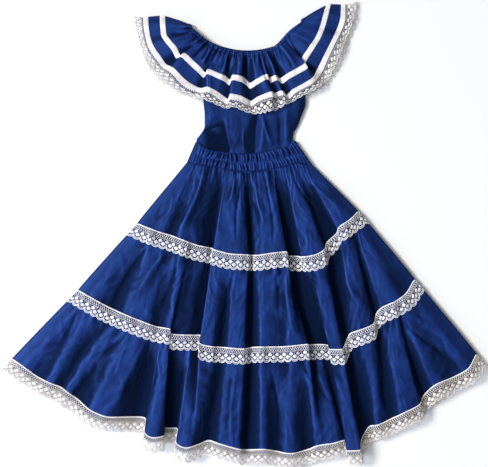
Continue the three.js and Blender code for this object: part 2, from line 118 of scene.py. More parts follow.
def smooth(places, values, at):
    """Smooth values between the rows of a table, with no overshoot at crests and valleys."""
    at = np.clip(np.asarray(at, float), places[0], places[-1])
    steps = np.diff(places)
    slopes = np.diff(values) / steps
    tangents = np.zeros(len(places))
    before, after = slopes[:-1], slopes[1:]
    same_way = before * after > 0
    total = np.where(same_way, before + after, 1.0)
    tangents[1:-1] = np.where(same_way, 2 * before * after / total, 0.0)
    tangents[0], tangents[-1] = slopes[0], slopes[-1]
    i = np.clip(np.searchsorted(places, at, side="right") - 1, 0, len(steps) - 1)
    f = (at - places[i]) / steps[i]
    rest = 1 - f
    ends = values[i] * (1 + 2 * f) * rest**2 + values[i + 1] * (3 - 2 * f) * f**2
    return ends + steps[i] * (tangents[i] * f * rest**2 - tangents[i + 1] * rest * f**2)


def row_values(rows, at):
    """Smooth values of every column of a table, by name, between its rows."""
    return {name: smooth(rows["row"], rows[name], at) for name in rows if name != "row"}


def mix(a, b, share):
    return a + (b - a) * share


def eased(share):
    """A share from 0 to 1, with soft ends."""
    share = np.clip(share, 0, 1)
    return share * share * (3 - 2 * share)


def arch(share):
    """0 at both ends of a share from 0 to 1, and 1 in the middle."""
    return np.sin(math.pi * np.clip(share, 0, 1))


def blurred(values, axis, reach):
    """Values averaged over a few neighbours, so that a coarse line comes out soft."""
    offsets = np.arange(-2 * reach, 2 * reach + 1)
    weights = np.exp(-((offsets / reach) ** 2))
    weights /= weights.sum()
    padded = np.concatenate([
        np.repeat(np.take(values, [0], axis), 2 * reach, axis),
        values,
        np.repeat(np.take(values, [-1], axis), 2 * reach, axis),
    ], axis)
    return np.apply_along_axis(lambda line: np.convolve(line, weights, "valid"), axis, padded)


# The lines of the waist and of the waistband's upper edge

WAIST = table("place y band_x band_y", [
    (-110, 144, -93, 184),
    (-84, 141, -68, 169),
    (-58, 138, -48, 165),
    (-32, 132, -28, 163),
    (0, 128, -2, 161),
    (30, 129, 22, 162),
    (60, 133, 50, 167),
    (84, 138, 70, 171),
    (106, 144, 86, 175),
    (132, 140, 99, 187),
])

# Folds of each tier. top is the fold's place on the seam above, place and y are where
# it meets the seam below, rise is its height there over the front's level, and lean is
# how far its edge overhangs, to the right where it is positive.
SEAM_1 = table("top place lean y rise", [
    (-110, -212, 0, 18, 2.5),
    (-104, -190, 0, 9, 6),
    (-98, -168, 0, 1, 8),
    (-92, -148, 1, -5, 5),
    (-86, -128, 2, -13, 9),
    (-74, -108, 3, -21, 7),
    (-56, -88, -1, -26, 4.5),
    (-42, -66, 3, -31, 0),
    (-33, -54, -6, -34, 11),
    (-16, -20, 0, -43, 11),
    (-2, 2, 5, -44, 8),
    (8, 17, -1, -45, 0),
    (18, 28, -4, -45, 10),
    (36, 54, 0, -41, 12),
    (54, 77, 8, -38, 10),
    (62, 85, -5, -45, 0),
    (76, 108, 3, -47, 3),
    (83, 122, -6, -48, 11),
    (91, 138, 0, -45, 13),
    (97, 153, 5, -35, 11),
    (104, 168, -3, -20, 4),
    (111, 182, 3, -1, 3),
    (117, 194, -5, 11, 9),
    (125, 212, 0, 27, 8),
    (132, 228, 0, 42, 2.5),
])

SEAM_2 = table("top place lean y rise", [
    (-212, -330, 0, -115, 2.5),
    (-202, -302, 0, -130, 8),
    (-190, -268, 1, -149, 4),
    (-170, -232, 0, -164, 10),
    (-150, -198, 1, -178, 10),
    (-134, -172, 0, -187, 5),
    (-116, -154, 7, -191, 10),
    (-104, -143, -5, -201, 7),
    (-84, -118, 0, -203, 4.5),
    (-64, -90, 5, -204, 0),
    (-56, -81, -7, -219, 12),
    (-46, -67, 0, -225, 13),
    (-26, -46, 2, -227, 5),
    (-14, -27, -3, -228, 11),
    (2, -8, 4, -230, 12),
    (20, 16, 0, -228, 2),
    (36, 40, -4, -226, 12),
    (62, 70, 0, -226, 9),
    (74, 94, 0, -224, 13),
    (86, 119, 8, -221, 11),
    (94, 129, -5, -223, 0),
    (108, 150, 0, -222, 2),
    (124, 167, 3, -224, 1),
    (134, 175, -6, -231, 11),
    (148, 187, 5, -231, 13),
    (162, 197, 2, -224, 6),
    (170, 204, 2, -209, 2),
    (184, 218, -6, -199, 10),
    (196, 234, 0, -191, 12),
    (206, 250, 6, -181, 9),
    (214, 263, -1, -164, 2),
    (219, 278, -5, -149, 9),
    (222, 300, 0, -136, 11),
    (225, 322, 0, -121, 7),
    (228, 340, 0, -94, 2.5),
])

HEM = table("top place lean y rise", [
    (-330, -459, 0, -250, 2.5),
    (-316, -434, 0, -266, 7),
    (-302, -408, 0, -285, 4),
    (-290, -386, 0, -295, 8),
    (-278, -366, 2, -304, 5),
    (-256, -350, 0, -313, 10),
    (-234, -334, 2, -326, 6),
    (-214, -298, 0, -351, 13),
    (-200, -266, 0, -362, 12),
    (-186, -240, 3, -363, 5),
    (-177, -212, 5, -364, 1),
    (-169, -199, 4, -366, 3),
    (-164, -190, -5, -394, 13),
    (-158, -179, 0, -402, 15),
    (-150, -165, 7, -399, 11),
    (-134, -154, -5, -386, 1),
    (-114, -137, 5, -386, 1),
    (-104, -127, -6, -414, 12),
    (-94, -115, 0, -422, 14),
    (-74, -92, 3, -416, 7),
    (-40, -72, 2, -410, 3),
    (-28, -42, -5, -415, 12),
    (-8, -18, 4, -424, 13),
    (14, 8, 0, -428, 4),
    (40, 42, -4, -425, 13),
    (54, 60, 3, -430, 6),
    (74, 92, 0, -434, 10),
    (106, 122, 4, -428, 3),
    (120, 150, -5, -418, 13),
    (134, 176, 0, -413, 14),
    (145, 191, 7, -408, 10),
    (155, 200, 0, -418, 2),
    (172, 209, -5, -428, 12),
    (186, 222, 6, -427, 14),
    (200, 233, -1, -408, 4),
    (216, 250, 0, -382, 2),
    (240, 268, -4, -378, 10),
    (260, 286, 2, -368, 7),
    (278, 314, 0, -354, 14),
    (292, 340, 6, -338, 11),
    (300, 356, -1, -324, 2),
    (308, 384, -6, -299, 11),
    (318, 420, 0, -282, 6),
    (330, 444, 0, -267, 9),
    (340, 461, 0, -241, 2.5),
])

# Depth of the underside's lines below a straight line between the two side folds
BACK_DIP = table("share band_top waist seam_1 seam_2 hem", [
    (0.0, 0, 0, 0, 0, 0),
    (0.1, 8, 5, 27, 45, 57),
    (0.2, 15, 9, 48, 79, 102),
    (0.35, 22, 13, 67, 112, 136),
    (0.5, 24, 15, 74, 124, 172),
    (0.65, 22, 13, 67, 112, 172),
    (0.8, 15, 9, 48, 79, 122),
    (0.9, 8, 5, 27, 45, 72),
    (1.0, 0, 0, 0, 0, 0),
])

# Creases in the skirt's front, from one point to another, with the height of each
# ridge, or the depth of each trough below zero, and its half width
CREASES = table("x1 y1 x2 y2 height width", [
    (-148, 98, -178, 18, -2.5, 4),
    (-18, 118, -30, 60, 2.5, 3),
    (-6, 100, -16, -10, -2.0, 3),
    (40, 110, 58, -20, -2.2, 4),
    (22, 112, 40, 20, 2.0, 3),
    (-84, 112, -128, 10, 2.5, 5),
    (100, 108, 150, 40, -2.0, 4),
    (118, 112, 196, 40, 2.0, 5),
    (-188, -22, -262, -142, -3.0, 4),
    (-132, -48, -168, -152, -3.0, 5),
    (-150, -30, -210, -120, 2.0, 5),
    (-100, -56, -126, -140, -1.6, 6),
    (-20, -74, -38, -200, -2.0, 4),
    (62, -82, 66, -152, -2.4, 4),
    (84, -80, 100, -200, 1.8, 4),
    (160, -70, 190, -160, -2.2, 4),
    (176, -40, 236, -150, 2.0, 5),
    (226, -20, 300, -100, -2.0, 5),
    (244, -10, 316, -84, 1.6, 5),
    (-332, -156, -380, -236, -2.0, 5),
    (-278, -182, -344, -272, -3.0, 4),
    (-344, -272, -368, -302, -2.4, 4),
    (-232, -202, -288, -252, -2.6, 4),
    (-288, -252, -338, -322, -2.6, 4),
    (-250, -176, -300, -300, 1.8, 6),
    (-200, -220, -262, -330, 1.6, 7),
    (-44, -272, -58, -372, -3.0, 4),
    (-58, -372, -74, -408, -2.5, 4),
    (-14, -262, -24, -422, 2.4, 3),
    (54, -272, 66, -422, -3.0, 3),
    (116, -262, 182, -342, -2.4, 4),
    (140, -262, 184, -392, 1.6, 5),
    (272, -282, 284, -352, -2.4, 4),
    (250, -240, 262, -360, 1.6, 5),
    (312, -172, 372, -222, -2.6, 5),
    (372, -222, 422, -272, -2.4, 5),
    (330, -160, 410, -212, 1.8, 6),
    (380, -180, 440, -236, -1.6, 5),
])


def even_columns(points_at, last, count):
    """Places between the rows of a table that are evenly spaced in length of cloth."""
    share = np.linspace(0, 1, LINE_SAMPLES)
    along = lengths(points_at(share * last), 0)
    return np.interp(np.linspace(0, along[-1], count), along, share) * last


def on_seam(seam, place):
    """Points of a seam line over the front, at places along it."""
    x = place + smooth(seam["place"], seam["lean"], place)
    y = smooth(seam["place"], seam["y"], place)
    rise = smooth(seam["place"], seam["rise"], place)
    # A power under 1 makes the crests broad and the bottoms of the valleys sharp
    z = FRONT_LEVEL + FOLD_HEIGHT * FOLD_FULL * (np.maximum(rise, 0) / FOLD_FULL) ** 0.75
    return np.stack([x, y, z], axis=-1)


def waist_line(place):
    y = smooth(WAIST["place"], WAIST["y"], place)
    return np.stack([place, y, np.full_like(place, WAIST_LEVEL)], axis=-1)


def band_line(place):
    x = smooth(WAIST["place"], WAIST["band_x"], place)
    y = smooth(WAIST["place"], WAIST["band_y"], place)
    return np.stack([x, y, np.full_like(place, WAIST_LEVEL)], axis=-1)


def under_line(left, right, dip):
    """A line of the underside, from the right side fold to the left."""
    share = np.linspace(1, 0, UNDER_COLUMNS)[:, None]
    line = mix(left, right, share)
    line[:, 1] -= smooth(BACK_DIP["share"], BACK_DIP[dip], share[:, 0])
    return line


def side_fade(place, places, reach=SIDE_REACH):
    """1 over the front, falling to 0 at its side folds."""
    return eased(np.minimum(place - places[0], places[-1] - place) / reach)


# Grids of points on the middle of the cloth, as [column, row, xyz], in millimetres

def lengths(grid, axis):
    """Distance along a grid's columns or rows, from its first, at each point."""
    steps = np.linalg.norm(np.diff(grid, axis=axis), axis=-1)
    first = np.zeros_like(np.take(steps, [0], axis=axis))
    return np.concatenate([first, np.cumsum(steps, axis=axis)], axis=axis)


def directions(grid, closed=True):
    """The outward direction at each point of a grid."""
    if closed:
        along = np.roll(grid, -1, axis=0) - np.roll(grid, 1, axis=0)
    else:
        along = np.gradient(grid, axis=0)
    normal = np.cross(np.gradient(grid, axis=1), along)
    return normal / np.maximum(np.linalg.norm(normal, axis=-1, keepdims=True), 1e-9)


def moved_out(grid, distance):
    return grid + directions(grid) * distance


def ring(front, back, out_left=(-1, 0), out_right=(1, 0)):
    """Columns over the front, round the right side fold, under, and round the left."""
    angles = np.linspace(0, math.pi, SIDE_COLUMNS + 2)[1:-1]

    def turn(above, below, out):
        radius = (above[:, 2] - below[:, 2]) / 2
        made = []
        for angle in angles:
            points = above.copy()
            points[:, :2] += np.outer(radius * math.sin(angle), out)
            points[:, 2] += radius * (math.cos(angle) - 1)
            made.append(points)
        return np.array(made)

    right = turn(front[-1], back[0], out_right)
    left = turn(front[0], back[-1], out_left)[::-1]
    return np.concatenate([front, right, back, left])


def hollows(grid, reach, depth):
    """How deep each point lies between the folds within reach of it, from 0 on a crest to
    1 at the depth given or more."""
    height = grid[..., 2]
    middle_row = grid[:, grid.shape[1] // 2]
    step = max(np.linalg.norm(np.diff(middle_row, axis=0), axis=1).mean(), 0.2)
    columns = int(round(reach / step))
    above = height
    for offset in range(-columns, columns + 1, 2):
        above = np.maximum(above, np.roll(height, offset, axis=0))
    above = blurred(above, 0, max(columns // 2, 1))
    return eased((above - height) / depth - 0.08)


def tube_painted_shade(grid, front_columns, reach, depth):
    """Painted shade of a tube of cloth, from the hollows between its large and small folds. It
    fades out towards the side folds, and the underside is painted darker where it is off the
    table, as shade."""
    small = hollows(grid, reach=10, depth=2.6)
    painted_shade = np.maximum(hollows(grid, reach, depth), 0.9 * small)
    painted_shade[front_columns:] = np.clip((grid[front_columns:, :, 2] - 0.9) / 2.6, 0, 0.7)
    column = np.arange(front_columns)
    from_side = np.minimum(column, column[::-1])
    painted_shade[:front_columns] *= np.clip(from_side / 14, 0, 1)[:, None]
    return painted_shade


# Meshes

def new_object(name, data):
    made = bpy.data.objects.new(name, data)
    bpy.context.scene.collection.objects.link(made)
    return made


def grid_mesh(name, points, faces, places):
    """A mesh of points in millimetres, with a UV place for each corner of its faces."""
    mesh = bpy.data.meshes.new(name)
    mesh.from_pydata(((points - OUTLINE_MIDDLE) * MM).tolist(), [], faces.tolist())
    mesh.uv_layers.new(name="UVMap").data.foreach_set("uv", places.ravel())
    mesh.shade_smooth()
    return mesh


pieces = {}


def add_piece(name, grid, thickness, painted_shade=None, closed=True):
    """A closed wall of even thickness through a grid, with a UV map in metres of cloth."""
    columns, rows = grid.shape[:2]
    half = directions(grid, closed) * thickness / 2
    points = np.concatenate([(grid + half).reshape(-1, 3), (grid - half).reshape(-1, 3)])
    looped = np.concatenate([grid, grid[:1]]) if closed else grid
    across = lengths(looped, 0).mean(axis=1)
    down = lengths(looped, 1)
    uv = np.stack([np.broadcast_to(across[:, None], down.shape), down], axis=-1) * MM
    faces, places = [], []

    def add(corners, inner):
        """Adds faces by their corners' columns and rows, each outside or inside."""
        numbers = [(column % columns) * rows + row + side * columns * rows
                   for (column, row), side in zip(corners, inner)]
        faces.append(np.stack(numbers, -1).reshape(-1, 4))
        places.append(np.stack([uv[corner] for corner in corners], -2).reshape(-1, 2))

    column, row = np.arange(len(looped) - 1), np.arange(rows - 1)
    c, r = np.meshgrid(column, row, indexing="ij")
    corners = [(c, r), (c, r + 1), (c + 1, r + 1), (c + 1, r)]
    add(corners, (0, 0, 0, 0))
    add(corners[::-1], (1, 1, 1, 1))
    for edge, inner in ((0, (0, 0, 1, 1)), (rows - 1, (1, 1, 0, 0))):
        r = np.full_like(column, edge)
        add([(column, r), (column + 1, r), (column + 1, r), (column, r)], inner)
    if not closed:
        for edge, inner in ((0, (1, 1, 0, 0)), (columns - 1, (0, 0, 1, 1))):
            c = np.full_like(row, edge)
            add([(c, row), (c, row + 1), (c, row + 1), (c, row)], inner)
    mesh = grid_mesh(name, points, np.concatenate(faces), np.concatenate(places))
    # The painted shade of each point, kept on both faces, by which the taffeta is painted darker
    if painted_shade is not None:
        both_sides = np.concatenate([painted_shade.ravel(), painted_shade.ravel()])
        mesh.attributes.new("painted_shade", "FLOAT", "POINT").data.foreach_set("value", both_sides)
    pieces[name] = new_object(name, mesh)


# Gathers, creases and crumples

def gather_set(seed, first, last, pitch, reach, height):
    """Places, lengths, heights and half widths of the gathers along a seam."""
    rng = np.random.default_rng(seed)
    count = int(round((last - first) / pitch))
    place = first + (np.arange(count) + 0.5 + rng.uniform(-0.32, 0.32, count)) * pitch
    return {
        "place": place,
        "reach": reach * rng.uniform(0.35, 1.5, count),
        "height": height * rng.uniform(0.45, 1.35, count),
        "half_width": pitch * rng.uniform(0.24, 0.42, count),
        "drift": pitch * rng.uniform(-0.5, 0.5, count),
    }


def gather_height(gathers, place, down):
    """Height of the gathers at places along the seam and distances down from it."""
    height = np.zeros(np.broadcast(place, down).shape)
    for i in range(len(gathers["place"])):
        share = np.clip(down / gathers["reach"][i], 0, 1)
        away = place - gathers["place"][i] - gathers["drift"][i] * share
        width = gathers["half_width"][i] * (1 + 0.8 * share)
        # A gather starts under half height at the seam and is full 7 mm below it
        start = np.clip(down / 7.0, 0, 1)
        fade = (1 - share) ** 1.3 * (0.45 + 0.55 * start * (2 - start))
        height += gathers["height"][i] * fade * np.exp(-np.abs(away / width) ** 1.3)
    return height


def crease_height(creases, points):
    """Height of the ridges and troughs of a table of creases, at points in plan. Each is
    slightly bowed, one to the left and the next to the right, and widens along its way."""
    height = np.zeros(points.shape[:-1])
    for i in range(len(creases["row"])):
        start = np.array([creases["x1"][i], creases["y1"][i]])
        end = np.array([creases["x2"][i], creases["y2"][i]])
        along = end - start
        length = np.linalg.norm(along)
        along = along / length
        offset = points[..., :2] - start
        share = (offset @ along) / length
        bow = 0.04 * length * arch(share) * (1 if i % 2 else -1)
        away = offset[..., 0] * -along[1] + offset[..., 1] * along[0] - bow
        fade = np.clip(1.15 - np.abs(2 * share - 1) ** 3, 0, 1)
        fade = fade * (np.abs(share - 0.5) < 0.62)
        width = creases["width"][i] * (0.7 + 0.6 * np.clip(share, 0, 1))
        skew = 1 + 0.5 * np.tanh(away / width)
        height += creases["height"][i] * fade * skew * np.exp(-np.abs(away / width) ** 1.5)
    return height


def crumples(row, down, share):
    """Crisp small ridges all over the cloth, longer down it than across it."""
    row, down, share = np.broadcast_arrays(row, down, share)
    across = row * CRUMPLES_PER_ROW + 0.5 * np.sin(down / 24 + row * 0.6)
    found = [
        noise.ridged_multi_fractal((a, b / CRUMPLE_LENGTH, 3.0), 1.0, 2.1, 2, 1.0, 2.0)
        for a, b in zip(across.ravel().tolist(), down.ravel().tolist())
    ]
    return CRUMPLE_HEIGHT * share * (np.array(found).reshape(row.shape) - 1.2)


# The skirt's tiers

class Tier:
    """One gathered tier, between the line it is sewn to and its foot, whose table has its
    folds. over_lace says if the underside's top and foot lie over lace. The cloth goes on
    by tuck millimetres above the upper line, and by turned millimetres below the foot."""

    def __init__(self, upper_line, upper_dip, foot, foot_dip, gathers, over_lace,
                 tuck=0.0, turned=0.0):
        self.upper_line = upper_line
        self.upper_dip = upper_dip
        self.foot = foot
        self.foot_dip = foot_dip
        self.gathers = gathers
        self.over_lace = over_lace
        self.tuck = tuck
        self.turned = turned

    def foot_points(self, row):
        return on_seam(self.foot, smooth(self.foot["row"], self.foot["place"], row))

    def even_rows(self, count):
        return even_columns(self.foot_points, self.foot["row"][-1], count)

    def under_lines(self):
        """The underside's lines along the top and along the foot."""
        ends = [0, -1]
        tops = self.upper_line(self.foot["top"][ends])
        feet = self.foot_points(self.foot["row"][ends])
        return under_line(*tops, self.upper_dip), under_line(*feet, self.foot_dip)

    def front(self, rows, share_down):
        """Points of the front, at rows of the foot's table. share_down gives the shares
        of the way down from the tier's length at each row."""
        top_place = smooth(self.foot["row"], self.foot["top"], rows)
        top = self.upper_line(top_place)[:, None, :]
        foot = self.foot_points(rows)[:, None, :]
        length = np.linalg.norm((foot - top)[..., :2], axis=-1)
        share = share_down(length)
        below = np.maximum(share, 0) * length
        points = mix(top, foot, share[..., None])
        # The folds stand a little above a straight line between the seams
        rise = (foot[..., 2] - FRONT_LEVEL) * np.clip(share, 0, 1)
        points[..., 2] += 0.22 * rise * arch(share)
        fade = side_fade(top_place, self.foot["top"])[:, None]
        for gathers in self.gathers:
            points[..., 2] += fade * gather_height(gathers, top_place[:, None], below)
        points[..., 2] += fade * crease_height(CREASES, points)
        # The crumples start within 5 mm of the seam
        off_seam = np.clip(below / 5.0, 0, 1)
        points[..., 2] += fade * crumples(rows[:, None], share * length, off_seam)
        points[..., 2] = np.maximum(points[..., 2], FRONT_LOWEST)
        if self.tuck:
            # The cloth leaves the waistband from under its edge, and rises from there
            limit = WAIST_LEVEL - 1.5 + 3.0 * np.maximum(share * length - 2.0, 0)
            points[..., 2] -= fade * np.maximum(points[..., 2] - limit, 0)
        return points

    def under(self, share):
        """Points of the underside, at shares of the way down."""
        top, foot = (line[:, None, :] for line in self.under_lines())
        points = mix(top, foot, share[None, :, None])
        near_top = self.over_lace[0] * (1 - share / LACE_ABOVE)
        near_foot = self.over_lace[1] * (share - (1 - LACE_BELOW)) / LACE_BELOW
        lift = eased(np.maximum(near_top, near_foot))
        points[..., 2] = mix(BACK_LEVEL, BACK_OVER_LACE, lift)
        # The wide gathers show on the underside too, pressed low
        inside = arch(np.linspace(0, 1, UNDER_COLUMNS)) ** 0.5
        down = share * np.linalg.norm(top - foot, axis=-1)
        pressed = gather_height(self.gathers[-1], points[:, :1, 0], down)
        points[..., 2] += 0.45 * inside[:, None] * pressed
        points[..., 2] = np.minimum(points[..., 2], UNDER_HIGHEST)
        return points

    def grid(self):
        first, last = 0.002, 0.999
        rows = self.even_rows(SKIRT_COLUMNS)
        fade = side_fade(rows, self.foot["row"], 1.0)[:, None]
        even = np.linspace(0, 1, SKIRT_ROWS)
        front = self.front(rows, lambda length: mix(
            first - fade * self.tuck / length, last + fade * self.turned / length, even))
        return ring(front, self.under(np.linspace(first, last, SKIRT_ROWS)))


# Each tier has fine gathers at its seam and wide ones that run further down
TIERS = {
    "skirt_tier_1": Tier(
        waist_line, "waist", SEAM_1, "seam_1",
        [gather_set(22, -106, 128, 6.0, 42, 2.6), gather_set(14, -100, 124, 17.0, 130, 3.8)],
        over_lace=(False, True), tuck=2.5),
    "skirt_tier_2": Tier(
        functools.partial(on_seam, SEAM_1), "seam_1", SEAM_2, "seam_2",
        [gather_set(12, -208, 224, 13.0, 60, 5.4), gather_set(15, -196, 214, 24.0, 120, 3.6)],
        over_lace=(True, True)),
    "skirt_tier_3": Tier(
        functools.partial(on_seam, SEAM_2), "seam_2", HEM, "hem",
        [gather_set(13, -324, 336, 14.0, 66, 5.6), gather_set(16, -310, 326, 27.0, 130, 3.8)],
        over_lace=(True, False), turned=8.5),
}

for name, tier in TIERS.items():
    tier_grid = tier.grid()
    add_piece(name, tier_grid, CLOTH, tube_painted_shade(tier_grid, SKIRT_COLUMNS, 36, 7.5))


# The waistband, shirred over elastic in two channels with a line of stitches between.
# Each channel has its puckers, and the shares of the band where it starts and ends.

BAND_PUCKERS = [
    (gather_set(21, -106, 128, 6.6, 90, 2.6), 0.0, 0.58),
    (gather_set(22, -106, 128, 6.0, 90, 2.2), 0.58, 1.1),
]


def band_grid():
    share = np.linspace(0, 1, BAND_ROWS)
    place = np.linspace(WAIST["place"][0], WAIST["place"][-1], BAND_COLUMNS)
    front = mix(band_line(place)[:, None, :], waist_line(place)[:, None, :], share[None, :, None])
    fade = side_fade(place, WAIST["place"])[:, None]
    for puckers, start, end in BAND_PUCKERS:
        inside = np.clip((share - start) / (end - start), 0, 1)
        lean = 4.0 * np.sin(place[:, None] / 13 + start * 9) * (inside - 0.5)
        ridge = gather_height(puckers, place[:, None] + lean, 6 + 4 * inside[None, :])
        front[..., 2] += fade * arch(inside) ** 0.6 * (0.4 + 1.5 * ridge)
        front[..., 1] -= fade * 0.8 * ridge * np.clip((share - 0.8) / 0.2, 0, 1) ** 2
    front[..., 2] -= fade * 0.6
    top = under_line(*band_line(place[[0, -1]]), "band_top")[:, None, :]
    foot = under_line(*waist_line(place[[0, -1]]), "waist")[:, None, :]
    under = mix(top, foot, 0.985 * share[None, :, None])
    under[..., 2] = BAND_CLOTH / 2 + 0.1
    return ring(front, under)


waistband = band_grid()
add_piece("waistband", waistband, BAND_CLOTH, tube_painted_shade(waistband, BAND_COLUMNS, 6, 5))


# The bodice, from under the casing to inside the waistband. dip is how far the middle
# of each row hangs below its ends, and relief is the share of the folds' height there.

BODICE = table("side left right dip back front relief", [
    (398, -88, 102, 28, 3.9, 5.6, 0),
    (330, -86, 112, 26, 3.9, 5.6, 0),
    (268, -82, 124, 24, 3.9, 5.6, 0.3),
    (240, -79, 116, 22, 3.6, 5.4, 0.8),
    (218, -79, 108, 22, 1.4, 4.0, 1),
    (201, -87, 99, 22, 1.4, 4.4, 0.9),
    (190, -95, 98, 22, 1.8, 4.2, 0.6),
    (181, -96, 100, 21, 2.0, 4.2, 0.45),
    (172, -90, 95, 20, 2.0, 4.2, 0.3),
])

BODICE_CREASES = table("x1 y1 x2 y2 height width", [
    (-70, 262, -56, 232, 3.0, 11),
    (-84, 202, -34, 225, -4.5, 7),
    (-68, 209, -60, 158, -6.5, 19),
    (-45, 222, -38, 158, -6.0, 11),
    (-36, 232, -24, 160, 2.6, 4),
    (-12, 246, -12, 168, -2.8, 13),
    (24, 254, 10, 150, -9.0, 9),
    (36, 244, 32, 158, 3.6, 6),
    (38, 238, 56, 178, 3.0, 3),
    (68, 246, 70, 168, -4.0, 6),
    (88, 262, 86, 178, 5.0, 8),
    (118, 280, 100, 192, -7.0, 9),
    (-1, 214, 2, 156, 1.6, 3),
])


def bodice_grid(level, columns, rows):
    at = row_values(BODICE, np.linspace(0, BODICE["row"][-1], rows))
    share = np.linspace(0, 1, columns)[:, None]
    x = mix(at["left"], at["right"], share)
    y = at["side"] - at["dip"] * 4 * share * (1 - share)
    grid = np.stack([x, y, np.broadcast_to(at[level], x.shape)], axis=-1)
    if level == "front":
        relief = at["relief"] * np.clip(np.minimum(share, 1 - share) / 0.06, 0, 1)
        grid[..., 2] += relief * (2.5 + crease_height(BODICE_CREASES, grid))
        # Clear of the back panel, and low enough to go under the waistband
        grid[..., 2] = np.maximum(grid[..., 2], at["back"] + 1.4)
        grid[..., 2] = np.minimum(grid[..., 2], 7.0 + 0.4 * np.maximum(at["side"] - 184, 0))
    return grid


def bodice_painted_shade(grid):
    # Painted shade: darker in the troughs of the bodice's creases and between its folds, and a
    # little darker all over, as shade under the ruffle
    large = eased(-crease_height(BODICE_CREASES, grid) / 5.0)
    return np.maximum(large, np.maximum(0.6 * hollows(grid, 9, 3), 0.26))


bodice_front = bodice_grid("front", 150, 110)
add_piece("bodice_front", bodice_front, CLOTH, bodice_painted_shade(bodice_front), closed=False)
add_piece("bodice_back", bodice_grid("back", 60, 60), CLOTH, closed=False)


# The ruffle's rays, from the neckline over the upper ribbon's middle to the edge of the
# cloth and the tip of its lace. rise is the height of its folds at the edge.

RAYS = table("neck_x neck_y mid_x mid_y edge_x edge_y tip_x tip_y rise", [
    (-106, 417, -164, 433, -204, 434, -222, 436, 2.5),
    (-104, 414, -163, 420, -203, 417, -220, 422, 6),
    (-100, 411, -161, 400, -199, 394, -214, 398, 4),
    (-94, 406, -152, 386, -192, 372, -207, 374, 7),
    (-88, 401, -140, 372, -179, 352, -198, 348, 6),
    (-82, 396, -131, 356, -165, 335, -186, 330, 0.5),
    (-76, 391, -123, 359, -147, 321, -172, 312, 10),
    (-68, 386, -104, 343, -125, 298, -148, 296, 7),
    (-60, 381, -90, 330, -109, 288, -128, 284, 5),
    (-52, 377, -79, 319, -90, 283, -106, 276, 0.5),
    (-44, 373, -73, 325, -72, 281, -86, 269, 11),
    (-34, 370, -52, 317, -61, 276, -68, 264, 8),
    (-26, 368, -36, 310, -47, 266, -50, 256, 4),
    (-20, 367, -29, 304, -33, 258, -34, 251, 0.5),
    (-14, 366, -22, 313, -27, 266, -22, 253, 12),
    (-4, 365, -6, 310, -9, 263, -8, 248, 9),
    (6, 365, 6, 303, 6, 257, 8, 242, 4),
    (14, 365, 12, 297, 15, 255, 22, 240, 0.5),
    (24, 366, 28, 305, 31, 263, 36, 240, 9),
    (34, 367, 46, 314, 57, 271, 52, 244, 14),
    (40, 368, 53, 308, 64, 272, 66, 248, 2),
    (48, 371, 64, 312, 79, 276, 82, 257, 9),
    (56, 374, 74, 307, 90, 269, 96, 264, 0.5),
    (64, 380, 88, 315, 103, 280, 112, 273, 7),
    (72, 388, 108, 326, 123, 291, 134, 284, 9),
    (80, 397, 125, 337, 141, 302, 154, 296, 12),
    (88, 406, 118, 345, 158, 323, 170, 310, 0.5),
    (96, 413, 136, 374, 171, 352, 183, 334, 6),
    (104, 419, 150, 396, 186, 384, 196, 364, 8),
    (110, 423, 159, 420, 198, 408, 208, 396, 3),
    (114, 426, 165, 442, 206, 433, 220, 428, 6),
    (116, 428, 170, 456, 206, 460, 229, 467, 2.5),
])
COLLAR_CREASES = table("x1 y1 x2 y2 height width", [
    (-92, 400, -148, 402, -3.0, 4),
    (-84, 396, -128, 374, 2.5, 4),
    (-70, 384, -104, 352, -3.0, 4),
    (-62, 380, -84, 344, 3.0, 3),
    (-52, 374, -66, 338, -3.5, 4),
    (-36, 366, -42, 322, 3.0, 5),
    (-28, 362, -32, 300, -4.0, 4),
    (-12, 360, -12, 306, 3.0, 5),
    (6, 358, 6, 292, -3.5, 5),
    (16, 360, 22, 300, 3.0, 4),
    (30, 362, 54, 290, -4.0, 3),
    (44, 364, 64, 312, 3.0, 4),
    (54, 368, 84, 312, -3.5, 4),
    (70, 382, 104, 330, 3.0, 5),
    (82, 392, 118, 352, -3.0, 5),
    (94, 404, 138, 382, 2.5, 6),
])

# Shares of the way down the ruffle where the casing ends and where the ribbons lie
CASING_END = 0.07
UPPER_RIBBON = (0.55, 0.66)
LOWER_RIBBON = (0.885, 0.985)
UPPER_MIDDLE = sum(UPPER_RIBBON) / 2
NECK_GATHERS = [gather_set(31, 6, 382, 8.5, 34, 3.0), gather_set(32, 10, 380, 17.0, 72, 4.2)]


def ray_points(row):
    """Points of the rays at the neckline, the upper ribbon's middle, the edge and the tip."""
    at = row_values(RAYS, row)
    from_middle = np.minimum(1, np.abs(at["edge_x"] - BODICE_MIDDLE) / BODICE_REACH)
    over_bodice = OVER_BODICE * (1 - from_middle ** 2)
    edge_z = FRONT_LEVEL + 1.2 * at["rise"] + over_bodice
    tip_z = FRONT_LEVEL + 0.9 * at["rise"] + over_bodice
    heights = {"neck": np.full_like(edge_z, NECK_LEVEL), "mid": mix(NECK_LEVEL, edge_z, 0.7),
               "edge": edge_z, "tip": tip_z}
    return [np.stack([at[name + "_x"], at[name + "_y"], z], -1) for name, z in heights.items()]


def along_rays(neck, middle, edge, share):
    """Points at shares of the way down rays that pass over the upper ribbon's middle."""
    neck, middle, edge = neck[:, None, :], middle[:, None, :], edge[:, None, :]
    share = np.broadcast_to(share, (len(neck), np.shape(share)[-1]))[..., None]
    upper = mix(neck, middle, share / UPPER_MIDDLE)
    lower = mix(middle, edge, (share - UPPER_MIDDLE) / (1 - UPPER_MIDDLE))
    return mix(upper, lower, eased((share - UPPER_MIDDLE + 0.12) / 0.24))


def shoulder_bow(row, share):
    """How far the folds at the shoulders bulge from the straight line to their lace."""
    left, right = row[:, None], RAYS["row"][-1] - row[:, None]
    return SHOULDER_BOW * arch(share) ** 0.8 * (np.exp(-left / 1.2) + np.exp(-right / 1.6))


